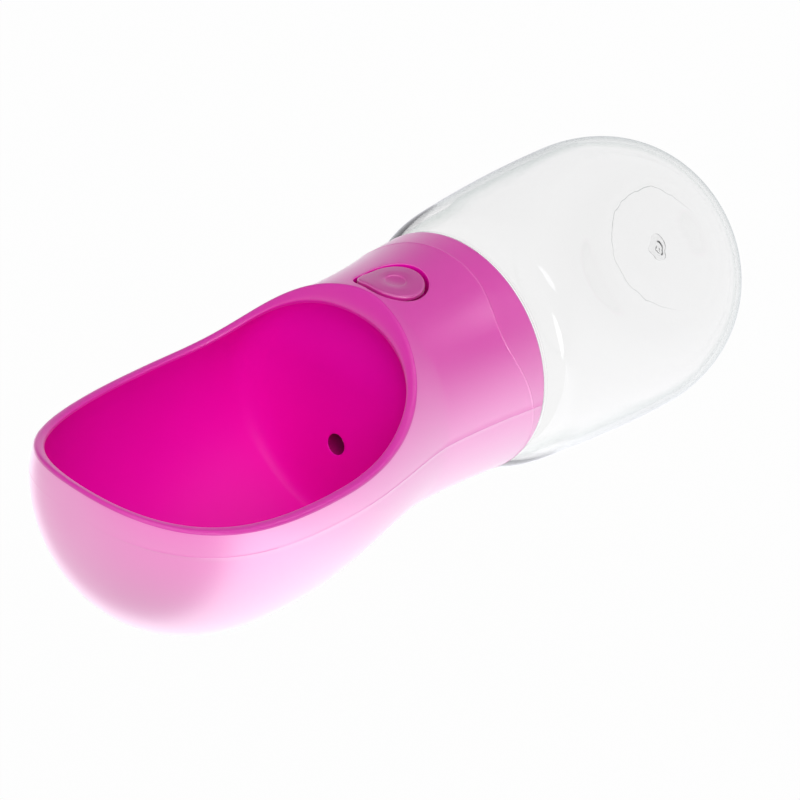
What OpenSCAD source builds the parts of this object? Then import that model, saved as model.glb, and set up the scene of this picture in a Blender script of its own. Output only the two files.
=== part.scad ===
// Dog travel water bottle: a clear bottle that screws into a one-piece moulded head.
// The head is a skirt, a waist with a push button, and a long drinking trough.
// Upright, +Z up along the bottle, origin in the middle of the base ring.
// The trough and the button face -Y. All sizes are millimetres.

/* [Bottle] */
// Largest radius of the bottle
bottle_r = 36.5; // [35:0.5:39]
// Height of the widest ring above the base
bottle_widest_z = 27; // [22:0.2:32]
// Wall of the bottle
bottle_wall = 1.6; // [1.2:0.1:2.2]
// Bow of the long side, as a radius seen from the side
bottle_side_bow = 400; // [330:10:600]
// Outer radius of the flat ring that the bottle stands on
base_flat_r = 19.5; // [18:0.5:24]
// Radius of the hollow under the base
punt_r = 16.5; // [12:0.5:17]
// Depth of the hollow under the base
punt_depth = 1.5; // [0.8:0.1:3]
// Radius of the moulding gate nub in the hollow
gate_r = 1.3; // [0.8:0.1:2]
// Height where the shoulder starts to round in
shoulder_start_z = 70; // [64:1:74]
// Height of the shelf that the skirt comes down to
shelf_z = 85.4; // [82:0.2:92]
// Radius of the support ring under the skirt
support_ring_r = 30.2; // [29:0.1:30.5]
// Height of the support ring
support_ring_h = 2; // [1.5:0.1:3]

/* [Neck] */
// Height of the neck above the shelf
neck_h = 10; // [9:0.5:12]
// Radius inside the neck
neck_bore_r = 23.4; // [22:0.2:24]
// Radius of the neck between the threads
neck_root_r = 25.6; // [25.2:0.1:26]
// Radius over the threads of the neck
neck_thread_r = 26.85; // [26.6:0.05:27.2]
// Plain run of the neck above and below the threads
neck_plain_h = 1.4; // [1:0.1:2]

/* [Head shell] */
// Radius of the skirt at its rim
skirt_r = 30.5; // [30:0.1:31.5]
// Narrowing of the skirt for each millimetre above its rim
skirt_taper = 0.07; // [0.02:0.01:0.1]
// Half width of the waist
waist_half_w = 28.4; // [28:0.1:29.5]
// Height of the top of the waist above the axis, on the button side
waist_top_r = 28.2; // [27.8:0.1:29.5]
// Height of the narrowest ring of the waist
waist_z = 117; // [114:0.5:120]
// Depth of the belly side of the waist at its narrowest
waist_belly_r = 30; // [29:0.1:30.4]
// Height of the narrowest place on the belly side
waist_belly_z = 109.5; // [104:0.5:112]
// Wall of the trough
trough_wall = 2.3; // [2:0.1:2.8]

/* [Trough] */
// Half width of the trough at its widest
bowl_half_w = 34; // [31:0.5:36]
// Height of the widest place of the trough
bowl_z = 158; // [152:1:164]
// Depth of the trough's belly below the bottle's axis
bowl_depth = 38.3; // [34:0.1:42]
// Height of the deepest place of the trough
bowl_deepest_z = 163; // [158:1:168]
// Height of the side walls above the axis before the rim is cut
bowl_top_r = 34; // [31:0.5:36]
// Height of the nose, the top of the whole object
nose_z = 209.8; // [204:0.5:216]
// Rise of the widest line towards the rim at the nose
nose_lift = 5.6; // [3:0.2:8]
// Height of the end wall's face next to the rim
end_wall_z = 121.6; // [120:0.2:124]
// Lean of the end wall, as a rise for each millimetre towards the belly
end_wall_lean = 0.066; // [0:0.01:0.1]
// Depth of the rounding between the end wall and the tub's floor
end_wall_round = 5; // [3:0.5:8]
// Depth of the rounding between the end wall and the tub's sides at the rim
end_wall_rim_round = 2; // [1:0.5:5]

/* [Rim] */
// Height of the rim above the axis at its lowest
rim_low_h = 6.6; // [4:0.1:10]
// Height of the crest where the rim meets the waist
crest_z = 118.65; // [118:0.05:119.5]
// Length over which the rim falls away from the crest
rim_fall = 11.6; // [8:0.2:14]
// Rise of the rim at the nose
rim_nose_rise = 5.4; // [2:0.1:7]
// Height where the rim starts to rise to the nose
rim_rise_z = 165; // [155:1:175]

/* [Button] */
// Radius of the round part of the drop-shaped recess
recess_r = 7.9; // [7:0.1:8.2]
// Reach of the recess's point past its round part
recess_point = 1.9; // [1:0.1:2.2]
// Turn of the point from across the bottle towards the trough
recess_turn = 41; // [0:1:90]
// Gap between the button and its recess
button_gap = 0.9; // [0.5:0.1:1.2]
// Height of the button and of the valve's axis
button_z = 109; // [108.6:0.1:109.4]
// Thickness of the button's cap
button_cap_t = 2; // [1.6:0.1:2.4]
// Travel of the button
button_travel = 2.5; // [2:0.1:2.8]
// Radius of the boss under the button
button_boss_r = 3; // [2.6:0.1:3.2]
// Depth of the finger dish in the button
dish_depth = 0.5; // [0.3:0.05:0.8]
// Radius of the finger dish
dish_r = 4.6; // [4:0.1:5]
// Radius of the small round mark in the dish
dimple_r = 2.5; // [2:0.1:3]
// Depth of the small round mark
dimple_depth = 0.3; // [0.2:0.05:0.5]

/* [Outlet] */
// Radius of the outlet hole in the end wall
outlet_r = 2.6; // [2.2:0.1:3]
// Distance of the outlet hole from the bottle's axis
outlet_y = 11.5; // [11:0.1:12]

/* [Valve] */
// Thickness of the valve housing's plate
plate_t = 2.5; // [2.2:0.1:2.6]
// Radius of the chamber inside the waist
chamber_r = 24.4; // [24:0.1:24.6]
// Thickness of the wall between the chamber and the end wall's face
end_wall_t = 2.3; // [2:0.1:2.6]
// Radius of the plunger's stem
stem_r = 2.4; // [2:0.1:2.6]
// Radius of the plunger's piston
piston_r = 3.35; // [3.2:0.05:3.6]
// Radius of the plunger's neck, which the water passes
plunger_neck_r = 1.6; // [1.4:0.1:1.8]
// Radius of the plunger's head
plunger_head_r = 4; // [3.8:0.1:4.2]
// Radius of the spring chamber
spring_chamber_r = 5.3; // [5.1:0.1:5.5]
// Wall of the barrel
barrel_wall = 1.5; // [1.2:0.1:1.6]
// Distance of the valve seat from the bottle's axis
seat_y = 4.6; // [4.2:0.1:5]
// Far end of the spring chamber
barrel_end_y = 19; // [18:0.2:20]
// Near end of the barrel, behind the button
barrel_front_y = -17.5; // [-18:0.1:-17]
// Radius of the inlet hole from the bottle
inlet_r = 1.9; // [1.6:0.1:2]
// Distance of the inlet hole from the bottle's axis
inlet_y = 1.6; // [1.4:0.1:1.8]
// Radius of the water way to the outlet
nozzle_bore_r = 2; // [1.6:0.1:2.2]

/* [Spring] */
// Wire of the return spring
spring_wire = 0.7; // [0.5:0.1:0.8]
// Middle radius of the return spring
spring_r = 3.2; // [3:0.1:3.4]
// Turns of the return spring
spring_turns = 5.5; // [5:0.5:6]

/* [Seals] */
// Thickness of the gasket on the bottle's lip
lip_gasket_t = 1.5; // [1.2:0.1:2]
// Thickness of the seal under the plunger's head
plunger_seal_t = 1.4; // [1.2:0.1:1.6]
// Thickness of the seal round the outlet
outlet_seal_t = 1.4; // [1.2:0.1:1.6]
// Thickness of the plunger's and the cap's O-rings
small_ring_t = 1; // [0.9:0.05:1.1]
// Thickness of the housing's O-ring
housing_ring_t = 1.2; // [1.1:0.05:1.3]

/* [Screws] */
// Radius of the screws' shanks
screw_r = 1.2; // [1.1:0.05:1.3]
// Radius of the screws' heads
screw_head_r = 2.5; // [2.3:0.1:2.6]
// Height of the screws' heads
screw_head_h = 1.3; // [1.1:0.1:1.4]
// Length of the screws under the head
screw_l = 9; // [7:0.5:11]
// Distance of the screws from the middle, across
screw_x = 15.5; // [15:0.1:16]
// Distance of the screws from the middle, towards the button and the belly
screw_y = 12; // [11.5:0.1:12.5]
// Radius of the bosses that the screws go into
screw_boss_r = 3.2; // [2.8:0.1:3.4]

/* [Fits] */
// Gap between the skirt's rim and the bottle's shelf
skirt_gap = 0.3; // [0.2:0.05:0.5]
// Radial clearance between the threads and the skirt's bore
thread_clearance = 0.15; // [0.1:0.01:0.2]
// Radial clearance of a piece that slides in its bore
slide_clearance = 0.05; // [0.03:0.01:0.08]
// Gap between a soft seal and the next body
seal_gap = 0.1; // [0.05:0.05:0.2]
// Clearance between two pieces that are assembled and don't move
seat_clearance = 0.2; // [0.1:0.05:0.3]

/* [Hidden] */
$fn = 96;

// A cut reaches this far past a face, so that no skin is left
past = 1;

// Heights inside the joint between bottle and head, from the lip of the neck upwards
lip_z = shelf_z + neck_h;
gasket_z = lip_z + seal_gap;
plate_z = gasket_z + lip_gasket_t + seal_gap;
plate_top_z = plate_z + plate_t;
ledge_z = plate_top_z + seat_clearance;
roof_z = end_wall_z - end_wall_t;
skirt_rim_z = shelf_z + skirt_gap;
skirt_bore_r = neck_thread_r + thread_clearance;
plate_r = skirt_bore_r - seat_clearance;

// Steps of the lofted surfaces, round and along
round_steps = 48;
waist_rows = 7;
nose_rows = 22;
tub_rows = 16;

// Shape of the nose in plan and in profile: 2 is an ellipse, more is fuller
nose_plan_power = 2.5;
nose_belly_power = 2.4;
// How early the trough widens and deepens: below 1 early, above 1 late
side_swell_power = 0.79;
belly_swell_power = 1.13;
// How long the rim holds the crest's height: 1 lets go at once
rim_hold_power = 1.2;

function smooth(u) = let (v = min(max(u, 0), 1)) v * v * (3 - 2 * v);
function rounded(u, power) = pow(max(1 - pow(max(u, 0), power), 0), 1 / power);

// Height of the faint crease above the skirt's rim. It lies across the button
// side, is highest half way to the parting line, and runs out on the belly side.
crease_top_h = 6.2;
crease_bump_h = 3.6;
crease_bump_at = 50;
crease_bump_width = 22;
crease_end_at = 130;
crease_least_h = 0.6;
function crease_h(from_top) = max(crease_least_h,
    crease_top_h * smooth((crease_end_at - from_top) / crease_end_at * 1.6)
    + crease_bump_h * exp(-pow((from_top - crease_bump_at) / crease_bump_width, 2)));
function crease_z(turn) = skirt_rim_z + crease_h(min(abs(turn + 90), abs(turn - 270)));

// From the skirt up to the narrowest ring, one half axis of the section
function waist_part(z, turn, narrow) =
    let (
        start = crease_z(turn),
        at_crease = skirt_r - skirt_taper * (start - skirt_rim_z),
        u = min(max((z - start) / (waist_z - start), 0), 1)
    )
    z < start ? skirt_r - skirt_taper * (z - skirt_rim_z)
    : narrow + (at_crease - narrow) * pow(1 - u, 2);

function side_swell(z) = smooth(pow((z - waist_z) / (bowl_z - waist_z), side_swell_power));

// Half axes of the section at height z: across, towards the rim, towards the belly.
// inset moves the surface inwards by the wall.
function across(z, turn, inset) =
    z < waist_z ? waist_part(z, turn, waist_half_w) - inset
    : z < bowl_z ? waist_half_w - inset
        + (bowl_half_w - waist_half_w) * side_swell(z)
    : (bowl_half_w - inset) * rounded((z - bowl_z) / (nose_z - inset - bowl_z), nose_plan_power);
function rimward(z, turn, inset) =
    z < waist_z ? waist_part(z, turn, waist_top_r) - inset
    : z < bowl_z ? waist_top_r - inset
        + (bowl_top_r - waist_top_r) * side_swell(z)
    : (bowl_top_r - inset) * rounded((z - bowl_z) / (nose_z - inset - bowl_z), nose_plan_power);
function bellyward(z, inset) =
    z < waist_belly_z ? waist_belly_r - inset
        + (skirt_r - waist_belly_r) * pow((waist_belly_z - z) / (waist_belly_z - skirt_rim_z), 2)
    : z < bowl_deepest_z ? waist_belly_r - inset + (bowl_depth - waist_belly_r)
        * smooth(pow((z - waist_belly_z) / (bowl_deepest_z - waist_belly_z), belly_swell_power))
    : (bowl_depth - inset)
        * rounded((z - bowl_deepest_z) / (nose_z - inset - bowl_deepest_z), nose_belly_power);
// Height of the widest line, which is the mould's parting line
function widest_y(z) = -nose_lift * pow(max((z - bowl_z) / (nose_z - bowl_z), 0), 3);

// A point of the head's surface. turn is 0 at +X, 90 at the belly, 270 at the rim.
function head_point(z, turn, inset, size = 1) =
    let (tall = sin(turn) > 0 ? bellyward(z, inset) : rimward(z, turn, inset))
    [across(z, turn, inset) * size * cos(turn), widest_y(z) + tall * size * sin(turn), z];
function head_ring(z, inset, size = 1) =
    [for (i = [0:round_steps - 1]) head_point(z, i * 360 / round_steps, inset, size)];

// Rings from the skirt's rim to the nose
function outer_rings() = concat(
    [head_ring(skirt_rim_z, 0)],
    [for (k = [0:waist_rows]) [for (i = [0:round_steps - 1])
        let (turn = i * 360 / round_steps, start = crease_z(turn))
        head_point(start + (waist_z - start) * k / waist_rows, turn, 0)]],
    [for (k = [1:nose_rows - 1]) head_ring(waist_z + (nose_z - waist_z) * sin(90 * k / nose_rows), 0)]);

// Rings of the tub: the end wall rounds into the sides, and the sides follow the shell
end_wall_sizes = [0.55, 0.8, 0.92, 0.98];
function end_wall_round_at(turn) = end_wall_rim_round
    + (end_wall_round - end_wall_rim_round) * smooth((1 + sin(turn)) / 2);
tub_nose_z = nose_z - trough_wall;
function leaned(p) =
    let (part = min(max((bowl_z - p[2]) / (bowl_z - end_wall_z), 0), 1))
    [p[0], p[1], p[2] + end_wall_lean * part * (p[1] + waist_top_r - end_wall_round)];
function end_wall_point(size, turn) = leaned(head_point(
    end_wall_z + end_wall_round_at(turn) * (1 - rounded(size, 3)), turn, trough_wall, size));
function tub_point(part, turn) = let (start = end_wall_z + end_wall_round_at(turn))
    leaned(head_point(start + (tub_nose_z - start) * part, turn, trough_wall));
function tub_rings() = concat(
    [for (size = end_wall_sizes) [for (i = [0:round_steps - 1]) end_wall_point(size, i * 360 / round_steps)]],
    [for (k = [0:tub_rows - 1]) [for (i = [0:round_steps - 1])
        tub_point(sin(90 * k / tub_rows), i * 360 / round_steps)]]);

// A closed skin over rings of equal count, with a middle point at each end
module skin(rings, first, last) {
    n = len(rings[0]);
    m = len(rings);
    points = concat([for (r = rings) for (p = r) p], [first, last]);
    sides = [for (k = [0:m - 2]) for (i = [0:n - 1])
        let (a = k * n + i, b = k * n + (i + 1) % n) each [[a, a + n, b], [b, a + n, b + n]]];
    bottom = [for (i = [0:n - 1]) [i, (i + 1) % n, n * m]];
    top = [for (i = [0:n - 1]) [(m - 1) * n + (i + 1) % n, (m - 1) * n + i, n * m + 1]];
    polyhedron(points = points, faces = concat(sides, bottom, top), convexity = 6);
}

module head_outer() {
    skin(outer_rings(), [0, 0, skirt_rim_z], [0, widest_y(nose_z), nose_z]);
}

module tub() {
    skin(tub_rings(), leaned([0, 0, end_wall_z]), [0, widest_y(tub_nose_z), tub_nose_z]);
}

// The rim in side view: steep at the crest, level along the trough, up at the nose
function rim_fallen(z) = let (way = (z - crest_z) / rim_fall) sign(way) * pow(abs(way), rim_hold_power);
function rim_y(z) = -(rim_low_h
    + (waist_top_r - rim_low_h) * exp(-rim_fallen(z))
    + rim_nose_rise * pow(max((z - rim_rise_z) / (tub_nose_z - rim_rise_z), 0), 3));
rim_step = 2;
module rim_cut() {
    far = 2 * bottle_r;
    steps = floor((nose_z + 4 - crest_z) / rim_step);
    rotate([90, 0, 90])
        linear_extrude(2 * far, center = true)
            polygon(concat(
                [[-far, crest_z - rim_step]],
                [for (k = [-1:steps]) let (z = crest_z + k * rim_step) [rim_y(z), z]],
                [[-far, crest_z + steps * rim_step]]));
}

// Turns a shape about Z into one about Y at the valve's height, with its height as y
module along_y() {
    translate([0, 0, button_z]) rotate([-90, 0, 0]) children();
}

// A ring of round section about Y, as an O-ring lies on the plunger
module ring_along_y(y, mid_r, thick) {
    along_y() translate([0, 0, y]) rotate_extrude() translate([mid_r, 0]) circle(d = thick, $fn = 24);
}

// Outline of the drop: a circle with one rounded point
point_sharpness = 16;
function drop_radius(turn, r, point) = r + point * pow(max(cos(turn), 0), point_sharpness);
module drop(r, point) {
    steps = 72;
    polygon([for (i = [0:steps - 1]) let (turn = i * 360 / steps, d = drop_radius(turn, r, point))
        [d * cos(turn + recess_turn), d * sin(turn + recess_turn)]]);
}
// The drop as a prism along Y, between two distances from the bottle's axis
module drop_prism(y_out, y_in, r, point) {
    translate([0, y_in, button_z]) rotate([90, 0, 0]) linear_extrude(y_in - y_out) drop(r, point);
}

// Depths in the recess, from the waist's surface inwards
button_top_y = -waist_top_r - 0.4;
cap_back_y = button_top_y + button_cap_t;
recess_floor_y = cap_back_y + button_travel;
recess_wall = 1.6;
boss_end_y = recess_floor_y + recess_wall + 0.7;
boss_hole_r = button_boss_r + 0.3;

// Bottle: the outline from the base up, seen from the side
heel_steps = 14;
side_steps = 8;
shoulder_steps = 8;
shoulder_end_z = shelf_z - support_ring_h;
shoulder_end_r = support_ring_r - 0.5;
function side_r(z) = bottle_r - pow(z - bottle_widest_z, 2) / (2 * bottle_side_bow);
function shoulder_r(z) = side_r(z) - (side_r(shoulder_end_z) - shoulder_end_r)
    * pow((z - shoulder_start_z) / (shoulder_end_z - shoulder_start_z), 3);
function heel(inset) = [for (k = [0:heel_steps]) let (a = 90 * k / heel_steps)
    [base_flat_r + (bottle_r - inset - base_flat_r) * sin(a),
    inset + (bottle_widest_z - inset) * (1 - cos(a))]];
function side(inset) = [for (k = [1:side_steps])
    let (z = bottle_widest_z + (shoulder_start_z - bottle_widest_z) * k / side_steps)
    [side_r(z) - inset, z]];
function shoulder(inset) = [for (k = [1:shoulder_steps])
    let (z = shoulder_start_z + (shoulder_end_z - shoulder_start_z) * k / shoulder_steps)
    [shoulder_r(z) - inset, z]];
function reversed(list) = [for (i = [len(list) - 1:-1:0]) list[i]];

module bottle() {
    punt_slope = 1.2;
    outside = concat(
        [[0, punt_depth], [punt_r - punt_slope, punt_depth], [punt_r, 0]],
        heel(0), side(0), shoulder(0),
        [[support_ring_r, shoulder_end_z + 0.4], [support_ring_r, shelf_z],
        [neck_root_r, shelf_z], [neck_root_r, shelf_z + neck_plain_h],
        [neck_thread_r, shelf_z + neck_plain_h + 0.6], [neck_thread_r, lip_z - neck_plain_h - 0.6],
        [neck_root_r, lip_z - neck_plain_h], [neck_root_r, lip_z], [neck_bore_r, lip_z]]);
    inside = concat(
        [[neck_bore_r, shelf_z - bottle_wall]],
        reversed(concat(heel(bottle_wall), side(bottle_wall), shoulder(bottle_wall))),
        [[punt_r, bottle_wall], [punt_r - punt_slope, bottle_wall + punt_depth],
        [0, bottle_wall + punt_depth]]);
    color([0.93, 0.96, 0.95, 0.4]) union() {
        rotate_extrude($fn = 128) polygon(concat(outside, inside));
        translate([0, 0, punt_depth - 0.6]) cylinder(r = gate_r, h = 0.6 + bottle_wall / 2, $fn = 24);
    }
}

module screw_places() {
    for (x = [-screw_x, screw_x], y = [-screw_y, screw_y]) translate([x, y, 0]) children();
}

module trough_head() {
    color([0.90, 0.36, 0.68]) difference() {
        union() {
            difference() {
                head_outer();
                translate([0, 0, skirt_rim_z - past])
                    cylinder(r = skirt_bore_r, h = ledge_z - skirt_rim_z + past);
                cylinder(r = chamber_r, h = roof_z);
                tub();
                rim_cut();
            }
            drop_prism(-chamber_r - past, recess_floor_y + recess_wall, recess_r + recess_wall, recess_point);
            screw_places() translate([0, 0, ledge_z])
                cylinder(r = screw_boss_r, h = roof_z - ledge_z + past);
        }
        drop_prism(-bottle_r, recess_floor_y, recess_r, recess_point);
        along_y() translate([0, 0, recess_floor_y - past])
            cylinder(r = boss_hole_r, h = recess_wall + 2 * past);
        translate([0, outlet_y, roof_z - past])
            cylinder(r = outlet_r, h = end_wall_t + end_wall_round + past, $fn = 48);
        screw_places() translate([0, 0, ledge_z - past])
            cylinder(r = screw_r + slide_clearance, h = screw_l + past, $fn = 32);
    }
}

module lip_gasket() {
    color([0.95, 0.95, 0.93]) translate([0, 0, gasket_z]) difference() {
        cylinder(r = skirt_bore_r - seat_clearance, h = lip_gasket_t);
        translate([0, 0, -past]) cylinder(r = neck_bore_r, h = lip_gasket_t + 2 * past);
    }
}

// Valve housing: a plate with a barrel across it, moulded in one
barrel_r = spring_chamber_r + barrel_wall;
gland_r = piston_r + slide_clearance + 0.05;
front_barrel_r = gland_r + barrel_wall;
gland_front_y = -12;
pedestal_half_w = 4;
nozzle_r = nozzle_bore_r + barrel_wall;
nozzle_top_z = roof_z - outlet_seal_t - seal_gap;
housing_ring_mid_r = (chamber_r + skirt_bore_r) / 2;
counterbore_h = screw_head_h + 0.1;

module valve_housing() {
    color([0.97, 0.97, 0.95]) difference() {
        union() {
            translate([0, 0, plate_z]) cylinder(r = plate_r, h = plate_t);
            along_y() translate([0, 0, barrel_front_y])
                cylinder(r = front_barrel_r, h = seat_y - barrel_front_y);
            along_y() translate([0, 0, seat_y - barrel_wall])
                cylinder(r = barrel_r, h = barrel_end_y - seat_y + barrel_wall);
            translate([-pedestal_half_w, gland_front_y, plate_z + plate_t / 2])
                cube([2 * pedestal_half_w, barrel_end_y - gland_front_y, button_z - plate_z - plate_t / 2]);
            translate([0, outlet_y, button_z])
                cylinder(r = nozzle_r, h = nozzle_top_z - button_z);
        }
        along_y() translate([0, 0, barrel_front_y - past])
            cylinder(r = stem_r + slide_clearance, h = seat_y - barrel_front_y + past);
        along_y() translate([0, 0, gland_front_y]) cylinder(r = gland_r, h = seat_y - gland_front_y + past);
        along_y() translate([0, 0, seat_y])
            cylinder(r = spring_chamber_r, h = barrel_end_y - seat_y + past);
        translate([0, inlet_y, plate_z - past])
            cylinder(r = inlet_r, h = button_z - plate_z + past, $fn = 48);
        translate([0, outlet_y, button_z])
            cylinder(r = nozzle_bore_r, h = nozzle_top_z - button_z + past, $fn = 48);
        translate([0, 0, plate_top_z - housing_ring_t + seat_clearance]) difference() {
            cylinder(r = housing_ring_mid_r + housing_ring_t / 2, h = housing_ring_t);
            translate([0, 0, -past])
                cylinder(r = housing_ring_mid_r - housing_ring_t / 2, h = housing_ring_t + 2 * past);
        }
        screw_places() {
            translate([0, 0, plate_z - past]) cylinder(r = screw_r + 0.2, h = plate_t + 2 * past, $fn = 32);
            translate([0, 0, plate_z - past]) cylinder(r = screw_head_r + 0.2, h = counterbore_h + past, $fn = 48);
        }
    }
}

module housing_o_ring() {
    color([0.95, 0.95, 0.93]) translate([0, 0, ledge_z - housing_ring_t / 2])
        rotate_extrude() translate([housing_ring_mid_r, 0]) circle(d = housing_ring_t, $fn = 24);
}

// Pan-head self-tapping screws, driven up through the plate into the head's bosses
module housing_screws() {
    slot_w = 0.6;
    slot_depth = 0.6;
    head_z = plate_z + counterbore_h - screw_head_h;
    color([0.75, 0.76, 0.78]) screw_places() difference() {
        union() {
            translate([0, 0, head_z]) cylinder(r = screw_head_r, h = screw_head_h, $fn = 48);
            translate([0, 0, head_z + screw_head_h]) cylinder(r = screw_r, h = screw_l - plate_t, $fn = 32);
        }
        for (a = [0, 90]) rotate([0, 0, a])
            translate([-slot_w / 2, -screw_head_r * 0.7, head_z - past])
                cube([slot_w, screw_head_r * 1.4, slot_depth + past]);
    }
}

module outlet_seal() {
    color([0.95, 0.95, 0.93]) translate([0, outlet_y, nozzle_top_z]) difference() {
        cylinder(r = nozzle_r + 0.8, h = outlet_seal_t, $fn = 48);
        translate([0, 0, -past]) cylinder(r = nozzle_bore_r, h = outlet_seal_t + 2 * past, $fn = 48);
    }
}

// Barrel cap: a plug with a groove for its O-ring and a flange against the barrel's end
cap_plug_h = 2.6;
cap_flange_h = 1.6;
cap_plug_r = spring_chamber_r - slide_clearance;
cap_ring_mid_r = cap_plug_r - small_ring_t / 2;
spring_end_y = barrel_end_y - cap_plug_h;
module barrel_cap() {
    ring_y = barrel_end_y - cap_plug_h / 2;
    half = small_ring_t / 2;
    color([0.97, 0.97, 0.95]) along_y() rotate_extrude() polygon([
        [0, spring_end_y], [cap_plug_r, spring_end_y], [cap_plug_r, ring_y - half],
        [cap_plug_r - small_ring_t, ring_y - half], [cap_plug_r - small_ring_t, ring_y + half],
        [cap_plug_r, ring_y + half], [cap_plug_r, barrel_end_y], [barrel_r, barrel_end_y],
        [barrel_r, barrel_end_y + cap_flange_h - 0.4], [barrel_r - 0.4, barrel_end_y + cap_flange_h],
        [0, barrel_end_y + cap_flange_h]]);
}

module cap_o_ring() {
    color([0.2, 0.2, 0.2]) ring_along_y(barrel_end_y - cap_plug_h / 2, cap_ring_mid_r, small_ring_t);
}

// Plunger: stem, piston with two O-ring grooves, thin neck, head and spring spigot
seal_y = seat_y + slide_clearance;
head_y = seal_y + plunger_seal_t;
plunger_head_h = 1.2;
spigot_h = 1.8;
spigot_r = spring_r - spring_wire / 2 - 0.4;
piston_front_y = -11;
piston_back_y = -3.5;
stem_tip_r = 1.6;
stem_tip_y = cap_back_y + 3;
stem_step_y = boss_end_y + 0.3;
groove_ys = [-9.3, -5.2];
groove_r = gland_r - slide_clearance - small_ring_t;
module plunger() {
    half = small_ring_t / 2 + 0.1;
    color([0.97, 0.97, 0.95]) along_y() rotate_extrude() polygon(concat(
        [[0, stem_tip_y], [stem_tip_r, stem_tip_y], [stem_tip_r, stem_step_y], [stem_r, stem_step_y],
        [stem_r, piston_front_y], [piston_r, piston_front_y]],
        [for (y = groove_ys) each [[piston_r, y - half], [groove_r, y - half],
            [groove_r, y + half], [piston_r, y + half]]],
        [[piston_r, piston_back_y], [plunger_neck_r, piston_back_y], [plunger_neck_r, head_y],
        [plunger_head_r, head_y], [plunger_head_r, head_y + plunger_head_h],
        [spigot_r, head_y + plunger_head_h], [spigot_r, head_y + plunger_head_h + spigot_h],
        [0, head_y + plunger_head_h + spigot_h]]));
}

module plunger_seal() {
    color([0.2, 0.2, 0.2]) along_y() translate([0, 0, seal_y]) difference() {
        cylinder(r = plunger_head_r + 0.4, h = plunger_seal_t, $fn = 64);
        translate([0, 0, -past]) cylinder(r = plunger_neck_r, h = plunger_seal_t + 2 * past, $fn = 48);
    }
}

module stem_o_rings() {
    color([0.2, 0.2, 0.2]) for (y = groove_ys) ring_along_y(y, groove_r + small_ring_t / 2, small_ring_t);
}

// Return spring: one unbroken wire wound about the valve's axis
wire_sides = 6;
curl_rings = 12;
spring_start_y = head_y + plunger_head_h + slide_clearance;
spring_run = spring_end_y - slide_clearance - spring_start_y - spring_wire;
spring_pitch = spring_run / spring_turns;
function wire_point(at, side) =
    let (turn = at * 360 * spring_turns, lean = side * 360 / wire_sides,
        d = spring_r + spring_wire / 2 * cos(lean))
    [d * cos(turn), d * sin(turn),
    spring_start_y + spring_wire / 2 + at * spring_run + spring_wire / 2 * sin(lean)];
module return_spring() {
    rings = round(spring_turns * curl_rings);
    echo("gap between the spring's turns", spring_pitch - spring_wire);
    color([0.75, 0.76, 0.78]) along_y() skin(
        [for (k = [0:rings]) [for (s = [wire_sides - 1:-1:0]) wire_point(k / rings, s)]],
        [spring_r, 0, spring_start_y + spring_wire / 2],
        [spring_r * cos(360 * spring_turns), spring_r * sin(360 * spring_turns),
        spring_start_y + spring_wire / 2 + spring_run]);
}

// Button: a drop-shaped cap crowned like the waist, with a boss that holds the stem
dish_ball_r = (dish_r * dish_r + dish_depth * dish_depth) / (2 * dish_depth);
module button() {
    color([0.88, 0.38, 0.68]) difference() {
        union() {
            intersection() {
                drop_prism(-bottle_r, cap_back_y, recess_r - button_gap, recess_point);
                cylinder(r = -button_top_y, h = nose_z);
            }
            along_y() translate([0, 0, cap_back_y - button_cap_t / 2])
                cylinder(r = button_boss_r, h = boss_end_y - cap_back_y + button_cap_t / 2, $fn = 64);
        }
        along_y() translate([0, 0, stem_tip_y - 0.2])
            cylinder(r = stem_tip_r + slide_clearance, h = boss_end_y - stem_tip_y + past, $fn = 48);
        translate([0, button_top_y - dish_ball_r + dish_depth, button_z]) sphere(r = dish_ball_r);
        along_y() translate([0, 0, button_top_y + dish_depth - past])
            cylinder(r = dimple_r, h = dimple_depth + past, $fn = 48);
    }
}

bottle();
trough_head();
lip_gasket();
valve_housing();
housing_o_ring();
housing_screws();
outlet_seal();
barrel_cap();
cap_o_ring();
return_spring();
plunger();
plunger_seal();
stem_o_rings();
button();
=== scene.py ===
"""Looks of a dog's travel water bottle: a clear bottle and a pink one-piece head.

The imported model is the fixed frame. The bottle, the head, the button and the
return spring are modelled here at their real sizes and stand for their CAD
nodes; the pieces inside the head keep their CAD meshes and get real finishes.
"""
import logging
import math
from dataclasses import dataclass, field
from enum import Enum

import bpy
import numpy as np
from mathutils import Matrix, Vector


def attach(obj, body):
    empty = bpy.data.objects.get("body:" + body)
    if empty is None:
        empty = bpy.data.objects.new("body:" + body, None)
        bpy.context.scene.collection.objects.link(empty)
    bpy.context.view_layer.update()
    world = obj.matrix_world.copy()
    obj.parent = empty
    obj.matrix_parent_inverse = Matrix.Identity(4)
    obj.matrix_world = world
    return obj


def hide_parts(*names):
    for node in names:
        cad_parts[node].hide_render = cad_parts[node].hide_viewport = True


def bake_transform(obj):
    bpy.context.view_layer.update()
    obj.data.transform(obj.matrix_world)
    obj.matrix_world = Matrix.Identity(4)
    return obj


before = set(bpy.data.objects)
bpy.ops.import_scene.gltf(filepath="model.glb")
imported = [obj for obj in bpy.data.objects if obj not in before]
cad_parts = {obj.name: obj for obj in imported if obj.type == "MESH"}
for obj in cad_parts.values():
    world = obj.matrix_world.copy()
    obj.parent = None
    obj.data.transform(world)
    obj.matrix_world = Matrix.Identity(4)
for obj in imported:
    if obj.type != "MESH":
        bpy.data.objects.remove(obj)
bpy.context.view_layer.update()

log = logging.getLogger("bottle")
MM = 0.001


class Body(Enum):
    """The bodies that move against each other."""

    BOTTLE = "bottle"
    HEAD = "head"
    BUTTON = "button"


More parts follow.
